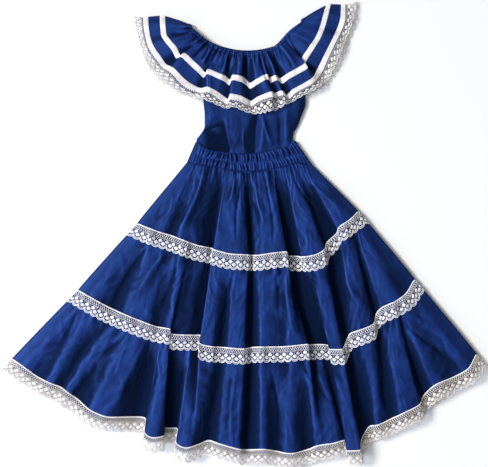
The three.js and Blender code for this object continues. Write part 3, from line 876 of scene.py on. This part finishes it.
def ruffle_rows():
    return even_columns(lambda row: ray_points(row)[1], RAYS["row"][-1], RUFFLE_COLUMNS)


def ruffle_under_rows():
    return RAYS["row"][-1] * np.linspace(1, 0, UNDER_COLUMNS)


def ruffle_front(row, share):
    """Points of the ruffle's cloth at shares of the way from the neckline to its edge."""
    neck, middle, edge, _ = ray_points(row)
    along = lengths(middle, 0)
    points = along_rays(neck, middle, edge, share)
    length = np.linalg.norm((edge - neck)[:, :2], axis=-1)[:, None]
    fade = side_fade(row, RAYS["row"], 1.0)[:, None]
    share = np.broadcast_to(share, points.shape[:2])
    down = np.maximum(share - CASING_END, 0) * length
    for gathers in NECK_GATHERS:
        points[..., 2] += fade * gather_height(gathers, along[:, None], down)
    points[..., 2] += fade * crease_height(COLLAR_CREASES, points)
    points[..., 2] += fade * 3.0 * arch(share) ** 1.5
    points[..., 1] += shoulder_bow(row, share)
    return points


def ruffle_under(share, level):
    row = ruffle_under_rows()
    neck, middle, edge, _ = ray_points(row)
    points = along_rays(neck, blurred(middle, 0, 3), edge, share)
    points[..., 1] += shoulder_bow(row, share)
    points[..., 2] = level
    return points


def outward_at_ends():
    """The directions in which the ruffle's two side folds turn under."""
    neck, _, edge, _ = ray_points(RAYS["row"][[0, -1]])
    way = (edge - neck)[:, :2]
    way /= np.linalg.norm(way, axis=1)[:, None]
    return (way[0, 1], -way[0, 0]), (-way[1, 1], way[1, 0])


RUFFLE_OUT = outward_at_ends()


def ruffle_grid(first, last, rows):
    share = np.linspace(first, last, rows)
    under = ruffle_under(share, BACK_OVER_LACE)
    return ring(ruffle_front(ruffle_rows(), share), under, *RUFFLE_OUT)


def casing_grid():
    share = np.linspace(0, CASING_END, 12)
    row = ruffle_rows()
    front = ruffle_front(row, share)
    pucker = np.sin(row * 16.3 + 1.5 * np.sin(row * 3.1)) * np.sin(row * 5.7 + 1.0)
    front[..., 2] += arch(share / CASING_END) ** 0.5 * (0.8 + 0.9 * pucker)[:, None]
    return ring(front, ruffle_under(share, CASING_UNDER), *RUFFLE_OUT)


casing = casing_grid()
ruffle = ruffle_grid(CASING_END - 0.006, 1.02, 60)
add_piece("neckline_casing", casing, BAND_CLOTH, tube_painted_shade(casing, RUFFLE_COLUMNS, 6, 4))
add_piece("ruffle", ruffle, CLOTH, tube_painted_shade(ruffle, RUFFLE_COLUMNS, 18, 11))
add_piece("ribbon_upper", moved_out(ruffle_grid(*UPPER_RIBBON, 8), 0.7), RIBBON)
add_piece("ribbon_lower", moved_out(ruffle_grid(*LOWER_RIBBON, 8), 1.3), RIBBON)


# Lace. Each edging is a flat repeat of bobbin-style lace, laid along a strip that follows
# the cloth. lace_motif makes one repeat, with X along the edging and Y across it.

def strip_mesh(name, grid):
    """A single layer through a grid, with a UV map from 0 to 1 along and across it, and
    its length along the middle."""
    columns, rows = grid.shape[:2]
    middle = lengths(np.concatenate([grid, grid[:1]]), 0)[:, rows // 2]
    c, r = np.meshgrid(np.arange(columns), np.arange(rows - 1), indexing="ij")
    corners = [(c, r), (c, r + 1), (c + 1, r + 1), (c + 1, r)]
    faces = np.stack([(a % columns) * rows + b for a, b in corners], -1).reshape(-1, 4)
    uv = np.stack([np.stack([middle[a] / middle[-1], b / (rows - 1)], -1) for a, b in corners], -2)
    return grid_mesh(name, grid.reshape(-1, 3), faces, uv), middle[-1]


class Threads:
    """Collects small closed shapes of lace as points and faces, in millimetres. dense
    says how closely each is woven, from 0."""

    def __init__(self):
        self.points, self.faces, self.dense = [], [], []

    def add(self, points, faces, dense):
        start = len(self.points)
        self.points += [tuple(point) for point in points]
        self.faces += [tuple(start + i for i in face) for face in faces]
        self.dense += [dense] * len(points)

    def cord(self, path, width, height, dense=0.0):
        """A cord of plaited thread along a path, with a ridge on top."""
        path = np.array(path, float)
        along = np.gradient(path, axis=0)
        side = np.stack([-along[:, 1], along[:, 0]], -1)
        side *= width / 2 / np.linalg.norm(side, axis=1)[:, None]
        count = len(path)
        flat = np.zeros((count, 1))
        points = np.concatenate([
            np.hstack([path - side, flat]),
            np.hstack([path + side, flat]),
            np.hstack([path, flat + height]),
        ])
        faces = []
        for i in range(count - 1):
            for a, b in ((0, 1), (1, 2), (2, 0)):
                a, b = a * count + i, b * count + i
                faces.append((a, b, b + 1, a + 1))
        faces += [(0, 2 * count, count), (count - 1, 2 * count - 1, 3 * count - 1)]
        self.add(points, faces, dense)

    def lozenge(self, x, y, edge, height, dense):
        """A closed shape with an edge of points round its middle, raised there."""
        count = len(edge)
        points = [(x + a, y + b, 0.1) for a, b in edge] + [(x, y, height), (x, y, -0.1)]
        faces = [((i + 1) % count, i, count) for i in range(count)]
        faces += [(i, (i + 1) % count, count + 1) for i in range(count)]
        self.add(points, faces, dense)

    def leaf(self, x, y, width, length, height):
        """A solid diamond of woven thread, a little rounded."""
        a, b = width / 2, length / 2
        c, d = a * 0.53, b * 0.53
        edge = [(0, b), (c, d), (a, 0), (c, -d), (0, -b), (-c, -d), (-a, 0), (-c, d)]
        self.lozenge(x, y, edge, height, 1.0)

    def knot(self, x, y, size, height):
        """A small knot where the threads of the net cross."""
        r = size / 2
        self.lozenge(x, y, [(0, r), (r, 0), (0, -r), (-r, 0)], height, 1.1)


def lace_motif(pitch):
    """A taped head, a net of fine holes, two staggered rows of leaves and a scallop."""
    threads = Threads()
    half = pitch / 2
    third = pitch / 3
    # The head, and the net with a knot at each crossing
    threads.cord([(i * third, 1.3) for i in range(4)], 2.6, 0.6, 1.3)
    for i in range(3):
        for side in (-1, 1):
            path = [(third * (i + side * k / 2), 2.0 + 2.8 * k) for k in range(4)]
            threads.cord(path, 0.6, 0.5, 0.4)
        threads.knot((i + 0.5) * third, 4.8, 2.9, 0.8)
        threads.knot(i * third, 7.6, 2.9, 0.8)
    # The tape below the net, the bars and the leaves
    threads.cord([(i * third, 11.0) for i in range(4)], 1.3, 0.5, 0.5)
    for side in (-1, 1):
        threads.cord([(side * 2.4, 11.1), (0, 14.6)], 0.8, 0.4)
        threads.cord([(side * 5.2, 17.4), (side * 2.2, 19.7)], 1.0, 0.5, 0.3)
        threads.cord([(side * 4.6, 21.4), (side * 7.0, 22.6)], 1.0, 0.5, 0.3)
    threads.cord([(0, 14.0), (0, 18.0)], 0.8, 0.4)
    threads.leaf(half, 15.9, 9.4, 7.8, 0.9)
    threads.leaf(0, 21.3, 9.4, 7.8, 0.9)
    # The scallop's two cords and its bars
    for side in (-1, 1):
        inner = [(side * 6.9, 22.6), (side * 5.9, 25.4), (side * 3.6, 27.6), (0, 28.7)]
        threads.cord(inner, 1.7, 0.6, 0.8)
        outer = [(side * 6.7, 25.8), (side * 6.0, 28.2), (side * 3.6, 30.3), (0, 31.1)]
        threads.cord(outer, 1.7, 0.6, 0.8)
        threads.cord([(side * 2.4, 23.2), (side * 4.6, 26.6)], 0.8, 0.4, 0.3)
    threads.cord([(half, 19.6), (half, 24.0)], 0.9, 0.4)
    threads.cord([(0, 25.0), (0, 28.4)], 0.9, 0.4, 0.3)
    mesh = bpy.data.meshes.new("lace_motif")
    mesh.from_pydata((np.array(threads.points) * MM).tolist(), [], threads.faces)
    mesh.attributes.new("dense", "FLOAT", "POINT").data.foreach_set("value", threads.dense)
    return mesh


def over_gathers(grid, height):
    """A strip that lies on the tops of the gathers under it."""
    soft = grid.copy()
    soft[..., 2] = np.maximum(soft[..., 2], blurred(soft[..., 2], 0, 3))
    return moved_out(soft, height)


def beyond(start, way, distance):
    """Points at distances from a line of starts, each along its own way in plan."""
    flat = way * (1, 1, 0)
    flat = flat / np.linalg.norm(flat, axis=1)[:, None]
    return start[:, None, :] + flat[:, None, :] * distance[None, :, None]


def seam_lace_strip(tier, columns):
    """Lace over a seam of the skirt, from 3 mm above it."""
    distance = np.linspace(-3, LACE_WIDTH - 3, 11)
    front = tier.front(tier.even_rows(columns), lambda length: distance / length)
    top, foot = tier.under_lines()
    under = beyond(top, foot - top, distance)
    under[..., 2] = LACE_UNDER
    return over_gathers(ring(front, under), 0.7)


def hem_lace_strip(tier, columns):
    """Lace beyond the hem, from 1 mm above it, with a free edge that waves a little."""
    distance = np.linspace(-1, LACE_WIDTH - 1, 13)
    rows = tier.even_rows(columns)
    front = tier.front(rows, lambda length: 1 + distance / length)
    loose = np.clip((distance - 10.5) / (LACE_WIDTH - 11.5), 0, 1)
    flutter = 1.2 * np.sin(rows * 5.1) * np.sin(rows * 2.3 + 1)
    front[..., 2] -= 0.25 * (front[..., 2] - FRONT_LEVEL) * loose
    front[..., 2] += (flutter * side_fade(rows, tier.foot["row"], 1.4))[:, None] * loose
    top, foot = tier.under_lines()
    under = beyond(foot, foot - top, distance)
    under[..., 2] = LACE_UNDER
    return over_gathers(ring(front, under), 0.6)


def ruffle_lace_strip():
    """Lace that starts 8.5 mm up the ruffle, under its lower ribbon."""
    distance = np.linspace(-8.5, 20.5, 11)
    outside = np.maximum(distance, 0) / distance[-1]

    def strip(row, on_cloth, peek=0.0):
        neck, middle, edge, tip = ray_points(row)
        cloth = np.linalg.norm((edge - neck)[:, :2], axis=1)[:, None]
        lace = np.linalg.norm((tip - edge)[:, :2], axis=1)
        points = on_cloth(row, np.minimum(1 + distance / cloth, 1.022))
        height = points[..., 2] + (tip - edge)[:, None, 2] * outside
        reach = outside * (1 + peek / lace)[:, None]
        free = mix(edge[:, None, :], tip[:, None, :], reach[..., None])
        points = np.where((distance > 0)[None, :, None], free, points)
        points[..., 2] = height
        return points

    def under_cloth(row, share):
        points = along_rays(*ray_points(row)[:3], share)
        points[..., 2] = BACK_OVER_LACE
        return points

    front = strip(ruffle_rows(), ruffle_front)
    # The lace underneath shows past the front's lace in two places
    right = np.linspace(1, 0, UNDER_COLUMNS)
    peek = 11 * np.exp(-(((right - 0.9) / 0.1) ** 2)) + 3 * np.exp(-(((right - 0.3) / 0.2) ** 2))
    under = strip(ruffle_under_rows(), under_cloth, peek)
    under[..., 2] = mix(LACE_UNDER, RUFFLE_LACE_EDGE_UNDER, outside)
    return moved_out(ring(front, under, *RUFFLE_OUT), 0.5)


# Shader and geometry nodes

def add_node(tree, kind, sockets=(), **settings):
    """Adds a node, with its settings, and the links or values of its sockets. A node
    given for a socket is linked from its first output."""
    made = tree.nodes.new(kind)
    for name, value in settings.items():
        setattr(made, name, value)
    for socket, value in dict(sockets).items():
        if isinstance(value, bpy.types.Node):
            value = value.outputs[0]
        if isinstance(value, bpy.types.NodeSocket):
            tree.links.new(value, made.inputs[socket])
        else:
            made.inputs[socket].default_value = value
    return made


def colour(hex_value):
    """An sRGB hex colour as linear light."""
    parts = [int(hex_value[i:i + 2], 16) / 255 for i in (1, 3, 5)]
    return tuple(c / 12.92 if c <= 0.04045 else ((c + 0.055) / 1.055) ** 2.4 for c in parts) + (1,)


def lace_tree():
    """Lays repeats of a flat motif side by side on a strip, by the strip's UV map."""
    tree = bpy.data.node_groups.new("lace_edging", "GeometryNodeTree")
    sockets = {}
    tree.interface.new_socket("Geometry", in_out="INPUT", socket_type="NodeSocketGeometry")
    for name, kind in (("Strip", "Object"), ("Motif", "Object"), ("Repeats", "Int"),
                       ("Pitch", "Float"), ("Width", "Float"), ("Finish", "Material")):
        sockets[name] = tree.interface.new_socket(
            name, in_out="INPUT", socket_type="NodeSocket" + kind).identifier
    tree.interface.new_socket("Geometry", in_out="OUTPUT", socket_type="NodeSocketGeometry")
    given = add_node(tree, "NodeGroupInput").outputs
    # A row of repeats, flat
    offset = add_node(tree, "ShaderNodeCombineXYZ", {"X": given["Pitch"]})
    line = add_node(tree, "GeometryNodeMeshLine", {"Count": given["Repeats"], "Offset": offset})
    motif = add_node(tree, "GeometryNodeObjectInfo", {"Object": given["Motif"]})
    repeats = add_node(tree, "GeometryNodeInstanceOnPoints",
                       {"Points": line, "Instance": motif.outputs["Geometry"]})
    flat = add_node(tree, "GeometryNodeRealizeInstances", {0: repeats})
    place = add_node(tree, "GeometryNodeInputPosition")
    kept = add_node(tree, "GeometryNodeStoreNamedAttribute",
                    {"Geometry": flat, "Name": "UVMap", "Value": place},
                    data_type="FLOAT2", domain="CORNER")
    # Where each point of the row falls on the strip's UV map
    axes = add_node(tree, "ShaderNodeSeparateXYZ", {0: place}).outputs
    total = add_node(tree, "ShaderNodeMath", {0: given["Repeats"], 1: given["Pitch"]},
                     operation="MULTIPLY")
    turns = add_node(tree, "ShaderNodeMath", {0: axes["X"], 1: total}, operation="DIVIDE")
    along = add_node(tree, "ShaderNodeMath", {0: turns}, operation="FRACT")
    share = add_node(tree, "ShaderNodeMath", {0: axes["Y"], 1: given["Width"]}, operation="DIVIDE")
    across = add_node(tree, "ShaderNodeClamp", {"Value": share, "Min": 0.0005, "Max": 0.9995})
    uv = add_node(tree, "ShaderNodeCombineXYZ", {"X": along, "Y": across})
    # The strip's surface and outward direction there, and the thread's height above it
    strip = add_node(tree, "GeometryNodeObjectInfo", {"Object": given["Strip"]})
    strip_uv = add_node(tree, "GeometryNodeInputNamedAttribute", {"Name": "UVMap"},
                        data_type="FLOAT_VECTOR")
    on_strip, outward = [
        add_node(tree, "GeometryNodeSampleUVSurface",
                 {"Mesh": strip.outputs["Geometry"], "Value": add_node(tree, kind),
                  "Source UV Map": strip_uv, "Sample UV": uv}, data_type="FLOAT_VECTOR")
        for kind in ("GeometryNodeInputPosition", "GeometryNodeInputNormal")]
    rise = add_node(tree, "ShaderNodeVectorMath", {0: outward, "Scale": axes["Z"]},
                    operation="SCALE")
    target = add_node(tree, "ShaderNodeVectorMath", {0: on_strip, 1: rise})
    laid = add_node(tree, "GeometryNodeSetPosition", {"Geometry": kept, "Position": target})
    done = add_node(tree, "GeometryNodeSetMaterial",
                    {"Geometry": laid, "Material": given["Finish"]})
    add_node(tree, "NodeGroupOutput", {0: done})
    return tree, sockets


# Materials

def new_material(name, **constants):
    """A material, its node tree and its surface, with constants set on the surface."""
    material = bpy.data.materials.new(name)
    material.use_nodes = True
    surface = material.node_tree.nodes["Principled BSDF"]
    for socket, value in constants.items():
        surface.inputs[socket.replace("_", " ")].default_value = value
    return material, material.node_tree, surface


# Woven polyester taffeta, plain weave with a fine crosswise rib. It has a soft sheen that
# follows the folds, small crinkles that catch the light, and painted shade, nearly black, in its
# hollows.
def taffeta_finish():
    material, tree, surface = new_material(
        "royal blue taffeta", IOR=1.5, Specular_IOR_Level=1.0, Specular_Tint=colour("#568CF8"))
    uv = add_node(tree, "ShaderNodeTexCoord").outputs["UV"]
    # Cloudy change of tone over 33 mm, from wear and uneven pressing
    cloud = add_node(tree, "ShaderNodeTexNoise", {"Vector": uv, "Scale": 30.0, "Detail": 3.0})
    tone = add_node(tree, "ShaderNodeValToRGB", {0: cloud.outputs["Fac"]})
    for stop, place, hue in zip(tone.color_ramp.elements, (0.3, 0.72), ("#102050", "#1A3070")):
        stop.position = place
        stop.color = colour(hue)
    # Painted shade: the hollows between folds are painted darker, towards near black, as
    # shade. They are hardly pressed, so they are also duller than the crests
    painted_shade = add_node(tree, "ShaderNodeAttribute", attribute_name="painted_shade").outputs["Fac"]
    shade = add_node(tree, "ShaderNodeMix", {0: painted_shade, 6: tone, 7: colour("#010208")},
                     data_type="RGBA")
    tree.links.new(shade.outputs[2], surface.inputs["Base Color"])
    gloss = add_node(tree, "ShaderNodeMapRange", {"Value": painted_shade, "To Min": 0.5, "To Max": 0.95})
    tree.links.new(gloss.outputs[0], surface.inputs["Roughness"])
    # Ribs of the weave, 0.25 mm apart in the real cloth and drawn 3.1 mm apart to show
    rib = add_node(tree, "ShaderNodeTexWave", {
        "Vector": uv, "Scale": 100.0, "Distortion": 1.2, "Detail": 2.0,
        "Detail Scale": 3.0}, bands_direction="Y")
    fine = add_node(tree, "ShaderNodeBump", {
        "Height": rib.outputs["Fac"], "Strength": 0.16, "Distance": 0.0002})
    # Crisp crinkles, about 14 mm across the cloth and 60 mm down it
    stretched = add_node(tree, "ShaderNodeMapping", {"Vector": uv, "Scale": (1.3, 0.3, 1.0)})
    crinkle = add_node(tree, "ShaderNodeTexNoise", {
        "Vector": stretched, "Scale": 55.0, "Detail": 3.0, "Roughness": 0.5,
        "Distortion": 0.5}, noise_type="RIDGED_MULTIFRACTAL")
    bump = add_node(tree, "ShaderNodeBump", {
        "Height": crinkle.outputs["Fac"], "Strength": 0.42, "Distance": 0.0035, "Normal": fine})
    tree.links.new(bump.outputs[0], surface.inputs["Normal"])
    return material


# Single-face polyester satin ribbon, off-white with a cream shade and a smooth gloss
def satin_finish():
    material, tree, surface = new_material(
        "off-white satin ribbon", Roughness=0.38, IOR=1.5, Sheen_Weight=0.15)
    uv = add_node(tree, "ShaderNodeTexCoord").outputs["UV"]
    # Soft change of tone over 17 mm
    cloud = add_node(tree, "ShaderNodeTexNoise", {"Vector": uv, "Scale": 60.0, "Detail": 2.0})
    tone = add_node(tree, "ShaderNodeValToRGB", {0: cloud.outputs["Fac"]})
    for stop, place, hue in zip(tone.color_ramp.elements, (0.35, 0.6), ("#DED6D2", "#F5F4F5")):
        stop.position = place
        stop.color = colour(hue)
    tree.links.new(tone.outputs[0], surface.inputs["Base Color"])
    # Puckers across the ribbon, about 5 mm apart, drawn in by its stitches
    narrow = add_node(tree, "ShaderNodeMapping", {"Vector": uv, "Scale": (1.0, 0.3, 1.0)})
    pucker = add_node(tree, "ShaderNodeTexNoise", {
        "Vector": narrow, "Scale": 190.0, "Detail": 3.0})
    bump = add_node(tree, "ShaderNodeBump", {
        "Height": pucker.outputs["Fac"], "Strength": 0.5, "Distance": 0.0014})
    # A line of stitches along each edge
    axes = add_node(tree, "ShaderNodeSeparateXYZ", {0: uv}).outputs
    off_middle = add_node(tree, "ShaderNodeMath", {0: axes["Y"], 1: RIBBON_WIDTH / 2 * MM},
                          operation="SUBTRACT")
    from_middle = add_node(tree, "ShaderNodeMath", {0: off_middle}, operation="ABSOLUTE")
    on_line = add_node(tree, "ShaderNodeMath", {
        0: from_middle, 1: (RIBBON_WIDTH / 2 - STITCH_INSET) * MM, 2: STITCH_WIDTH / 2 * MM},
        operation="COMPARE")
    steps = add_node(tree, "ShaderNodeMath", {0: axes["X"], 1: STITCH_LENGTH * MM},
                     operation="DIVIDE")
    step = add_node(tree, "ShaderNodeMath", {0: steps}, operation="FRACT")
    dash = add_node(tree, "ShaderNodeMath", {0: step, 1: 0.72}, operation="LESS_THAN")
    stitch = add_node(tree, "ShaderNodeMath", {0: on_line, 1: dash}, operation="MULTIPLY")
    sewn = add_node(tree, "ShaderNodeBump", {
        "Height": stitch, "Strength": 0.8, "Distance": 0.0004, "Normal": bump}, invert=True)
    tree.links.new(sewn.outputs[0], surface.inputs["Normal"])
    return material


# Cotton bobbin-style lace, matt off-white twisted thread
def lace_finish(name, thread, leaf):
    material, tree, surface = new_material(name, Roughness=0.85, IOR=1.47)
    place = add_node(tree, "ShaderNodeTexCoord").outputs["Object"]
    # Greyer in patches of 22 mm, and painted greyer where the threads are thin than where they
    #     are woven close, as painted shade on the thin threads
    cloud = add_node(tree, "ShaderNodeTexNoise", {"Vector": place, "Scale": 45.0, "Detail": 2.0})
    patch = add_node(tree, "ShaderNodeMapRange", {
        "Value": cloud.outputs["Fac"], "From Min": 0.35, "From Max": 0.65, "To Max": 0.25})
    dense = add_node(tree, "ShaderNodeAttribute", attribute_name="dense").outputs["Fac"]
    woven = add_node(tree, "ShaderNodeMath", {0: dense, 1: patch},
                     operation="SUBTRACT", use_clamp=True)
    tone = add_node(tree, "ShaderNodeMix", {0: woven, 6: colour(thread), 7: colour(leaf)},
                    data_type="RGBA")
    tree.links.new(tone.outputs[2], surface.inputs["Base Color"])
    # Twist of the thread, drawn 1.1 mm apart to show
    twist = add_node(tree, "ShaderNodeTexNoise", {"Vector": place, "Scale": 900.0, "Detail": 2.0})
    bump = add_node(tree, "ShaderNodeBump", {
        "Height": twist.outputs["Fac"], "Strength": 0.5, "Distance": 0.0006})
    tree.links.new(bump.outputs[0], surface.inputs["Normal"])
    return material


taffeta = taffeta_finish()
satin = satin_finish()
# Each lace's thread tone is painted shade on its thin threads; the hem's is warmer and darker than
# the others
lace = lace_finish("off-white cotton lace", "#B9B6BA", "#F3F3F6")
hem_cotton = lace_finish("off-white cotton lace at the hem", "#AFA193", "#F3EFEB")
collar_cotton = lace_finish("off-white cotton lace at the collar", "#BDB5AE", "#F4F2F1")

for name, piece in pieces.items():
    piece.data.materials.append(satin if name.startswith("ribbon") else taffeta)


# Lace pieces

LACE_TREE, LACE_SOCKETS = lace_tree()


def add_lace(name, strip_grid, finish):
    strip, total = strip_mesh(name + "_strip", strip_grid)
    repeats = int(round(total / LACE_PITCH))
    pitch = total / repeats
    sources = [new_object("strip", strip), new_object("motif", lace_motif(pitch))]
    carrier = new_object(name, bpy.data.meshes.new(name))
    modifier = carrier.modifiers.new("lace", "NODES")
    modifier.node_group = LACE_TREE
    values = {"Strip": sources[0], "Motif": sources[1], "Repeats": repeats,
              "Pitch": pitch * MM, "Width": LACE_WIDTH * MM, "Finish": finish}
    for socket, value in values.items():
        modifier[LACE_SOCKETS[socket]] = value
    evaluated = carrier.evaluated_get(bpy.context.evaluated_depsgraph_get())
    mesh = bpy.data.meshes.new_from_object(evaluated)
    mesh.name = name
    carrier.modifiers.clear()
    carrier.data = mesh
    for made in sources:
        bpy.data.objects.remove(made)
    pieces[name] = carrier


add_lace("lace_tier_1", seam_lace_strip(TIERS["skirt_tier_2"], 420), lace)
add_lace("lace_tier_2", seam_lace_strip(TIERS["skirt_tier_3"], 560), lace)
add_lace("hem_lace", hem_lace_strip(TIERS["skirt_tier_3"], 620), hem_cotton)
add_lace("ruffle_lace", ruffle_lace_strip(), collar_cotton)

for name, piece in pieces.items():
    piece.name = name + "_cloth"

# The record's slot of each piece, the size it was cut to in metres, and how it is held

SHEETS = {
    "skirt_tier_1": ("taffeta", (0.88, 0.175), "gathered", "waistband"),
    "skirt_tier_2": ("taffeta", (1.45, 0.19), "gathered", "skirt_tier_1"),
    "skirt_tier_3": ("taffeta", (2.10, 0.205), "gathered", "skirt_tier_2"),
    "waistband": ("taffeta", (0.52, 0.044), "gathered", "bodice_front"),
    "bodice_front": ("taffeta", (0.24, 0.23), "laid", "bodice_back"),
    "bodice_back": ("taffeta", (0.24, 0.23), "laid", "waistband"),
    "neckline_casing": ("taffeta", (0.50, 0.013), "gathered", "bodice_front"),
    "ruffle": ("taffeta", (1.05, 0.105), "gathered", "neckline_casing"),
    "ribbon_upper": ("satin_ribbon", (1.00, 0.012), "laid", "ruffle"),
    "ribbon_lower": ("satin_ribbon", (1.20, 0.012), "laid", "ruffle"),
    "lace_tier_1": ("cotton_lace", (1.05, 0.032), "laid", "skirt_tier_2"),
    "lace_tier_2": ("cotton_lace", (1.60, 0.032), "laid", "skirt_tier_3"),
    "hem_lace": ("cotton_lace", (2.30, 0.032), "laid", "skirt_tier_3"),
    "ruffle_lace": ("cotton_lace", (1.20, 0.032), "laid", "ruffle"),
}

for name, (slot, flat, held, rests_on) in SHEETS.items():
    piece = pieces[name]
    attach(piece, "root")
    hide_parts(name)

# Floor, light and camera. The floor is a matt painted board, plain and pale.

floor_mesh = bpy.data.meshes.new("floor")
floor_mesh.from_pydata([(-4, -4, 0), (4, -4, 0), (4, 4, 0), (-4, 4, 0)], [], [(0, 1, 2, 3)])
board, _, _ = new_material("white painted board", Base_Color=colour("#F4F4F2"), Roughness=0.9)
floor_mesh.materials.append(board)
floor = new_object("floor", floor_mesh)
floor.location.z = -0.0005


def facing(direction):
    return direction.to_track_quat("-Z", "Y").to_euler()


def area_light(name, place, size, watts, aim=(0, 0, 0), hue="#FFFFFF"):
    data = bpy.data.lights.new(name, "AREA")
    data.size = size
    data.energy = watts
    data.color = colour(hue)[:3]
    lamp = new_object(name, data)
    lamp.location = place
    lamp.rotation_euler = facing(Vector(aim) - Vector(place))


area_light("room light", (-0.7, 0.0, 2.6), 2.3, 26)
area_light("side light", (-1.6, -1.3, 1.0), 1.0, 20, aim=(-0.42, -0.35, 0), hue="#C4D6FF")
sun_data = bpy.data.lights.new("window light", "SUN")
sun_data.energy = 3.2
sun_data.angle = math.radians(20)
window = new_object("window light", sun_data)
window.rotation_euler = facing(Vector((0.76, -0.14, -0.63)))
world = bpy.data.worlds.new("room")
world.use_nodes = True
background = world.node_tree.nodes["Background"]
background.inputs["Color"].default_value = colour("#E8ECF4")
background.inputs["Strength"].default_value = 0.16
bpy.context.scene.world = world
bpy.context.scene.view_settings.view_transform = "Standard"

# The photograph looks almost straight down from the foot side, 976 mm wide
VIEW_WIDTH = 0.976
VIEW_DISTANCE = 2.2
VIEW_ELEVATION = math.radians(88)
SENSOR = 36
view_middle = Vector((-0.0001, 0.0018, 0.008))
away = Vector((0, -math.cos(VIEW_ELEVATION), math.sin(VIEW_ELEVATION)))
camera_data = bpy.data.cameras.new("camera")
camera_data.sensor_width = SENSOR
camera_data.lens = SENSOR * VIEW_DISTANCE / VIEW_WIDTH
camera = new_object("camera", camera_data)
camera.location = view_middle + away * VIEW_DISTANCE
camera.rotation_euler = facing(-away)
bpy.context.scene.camera = camera
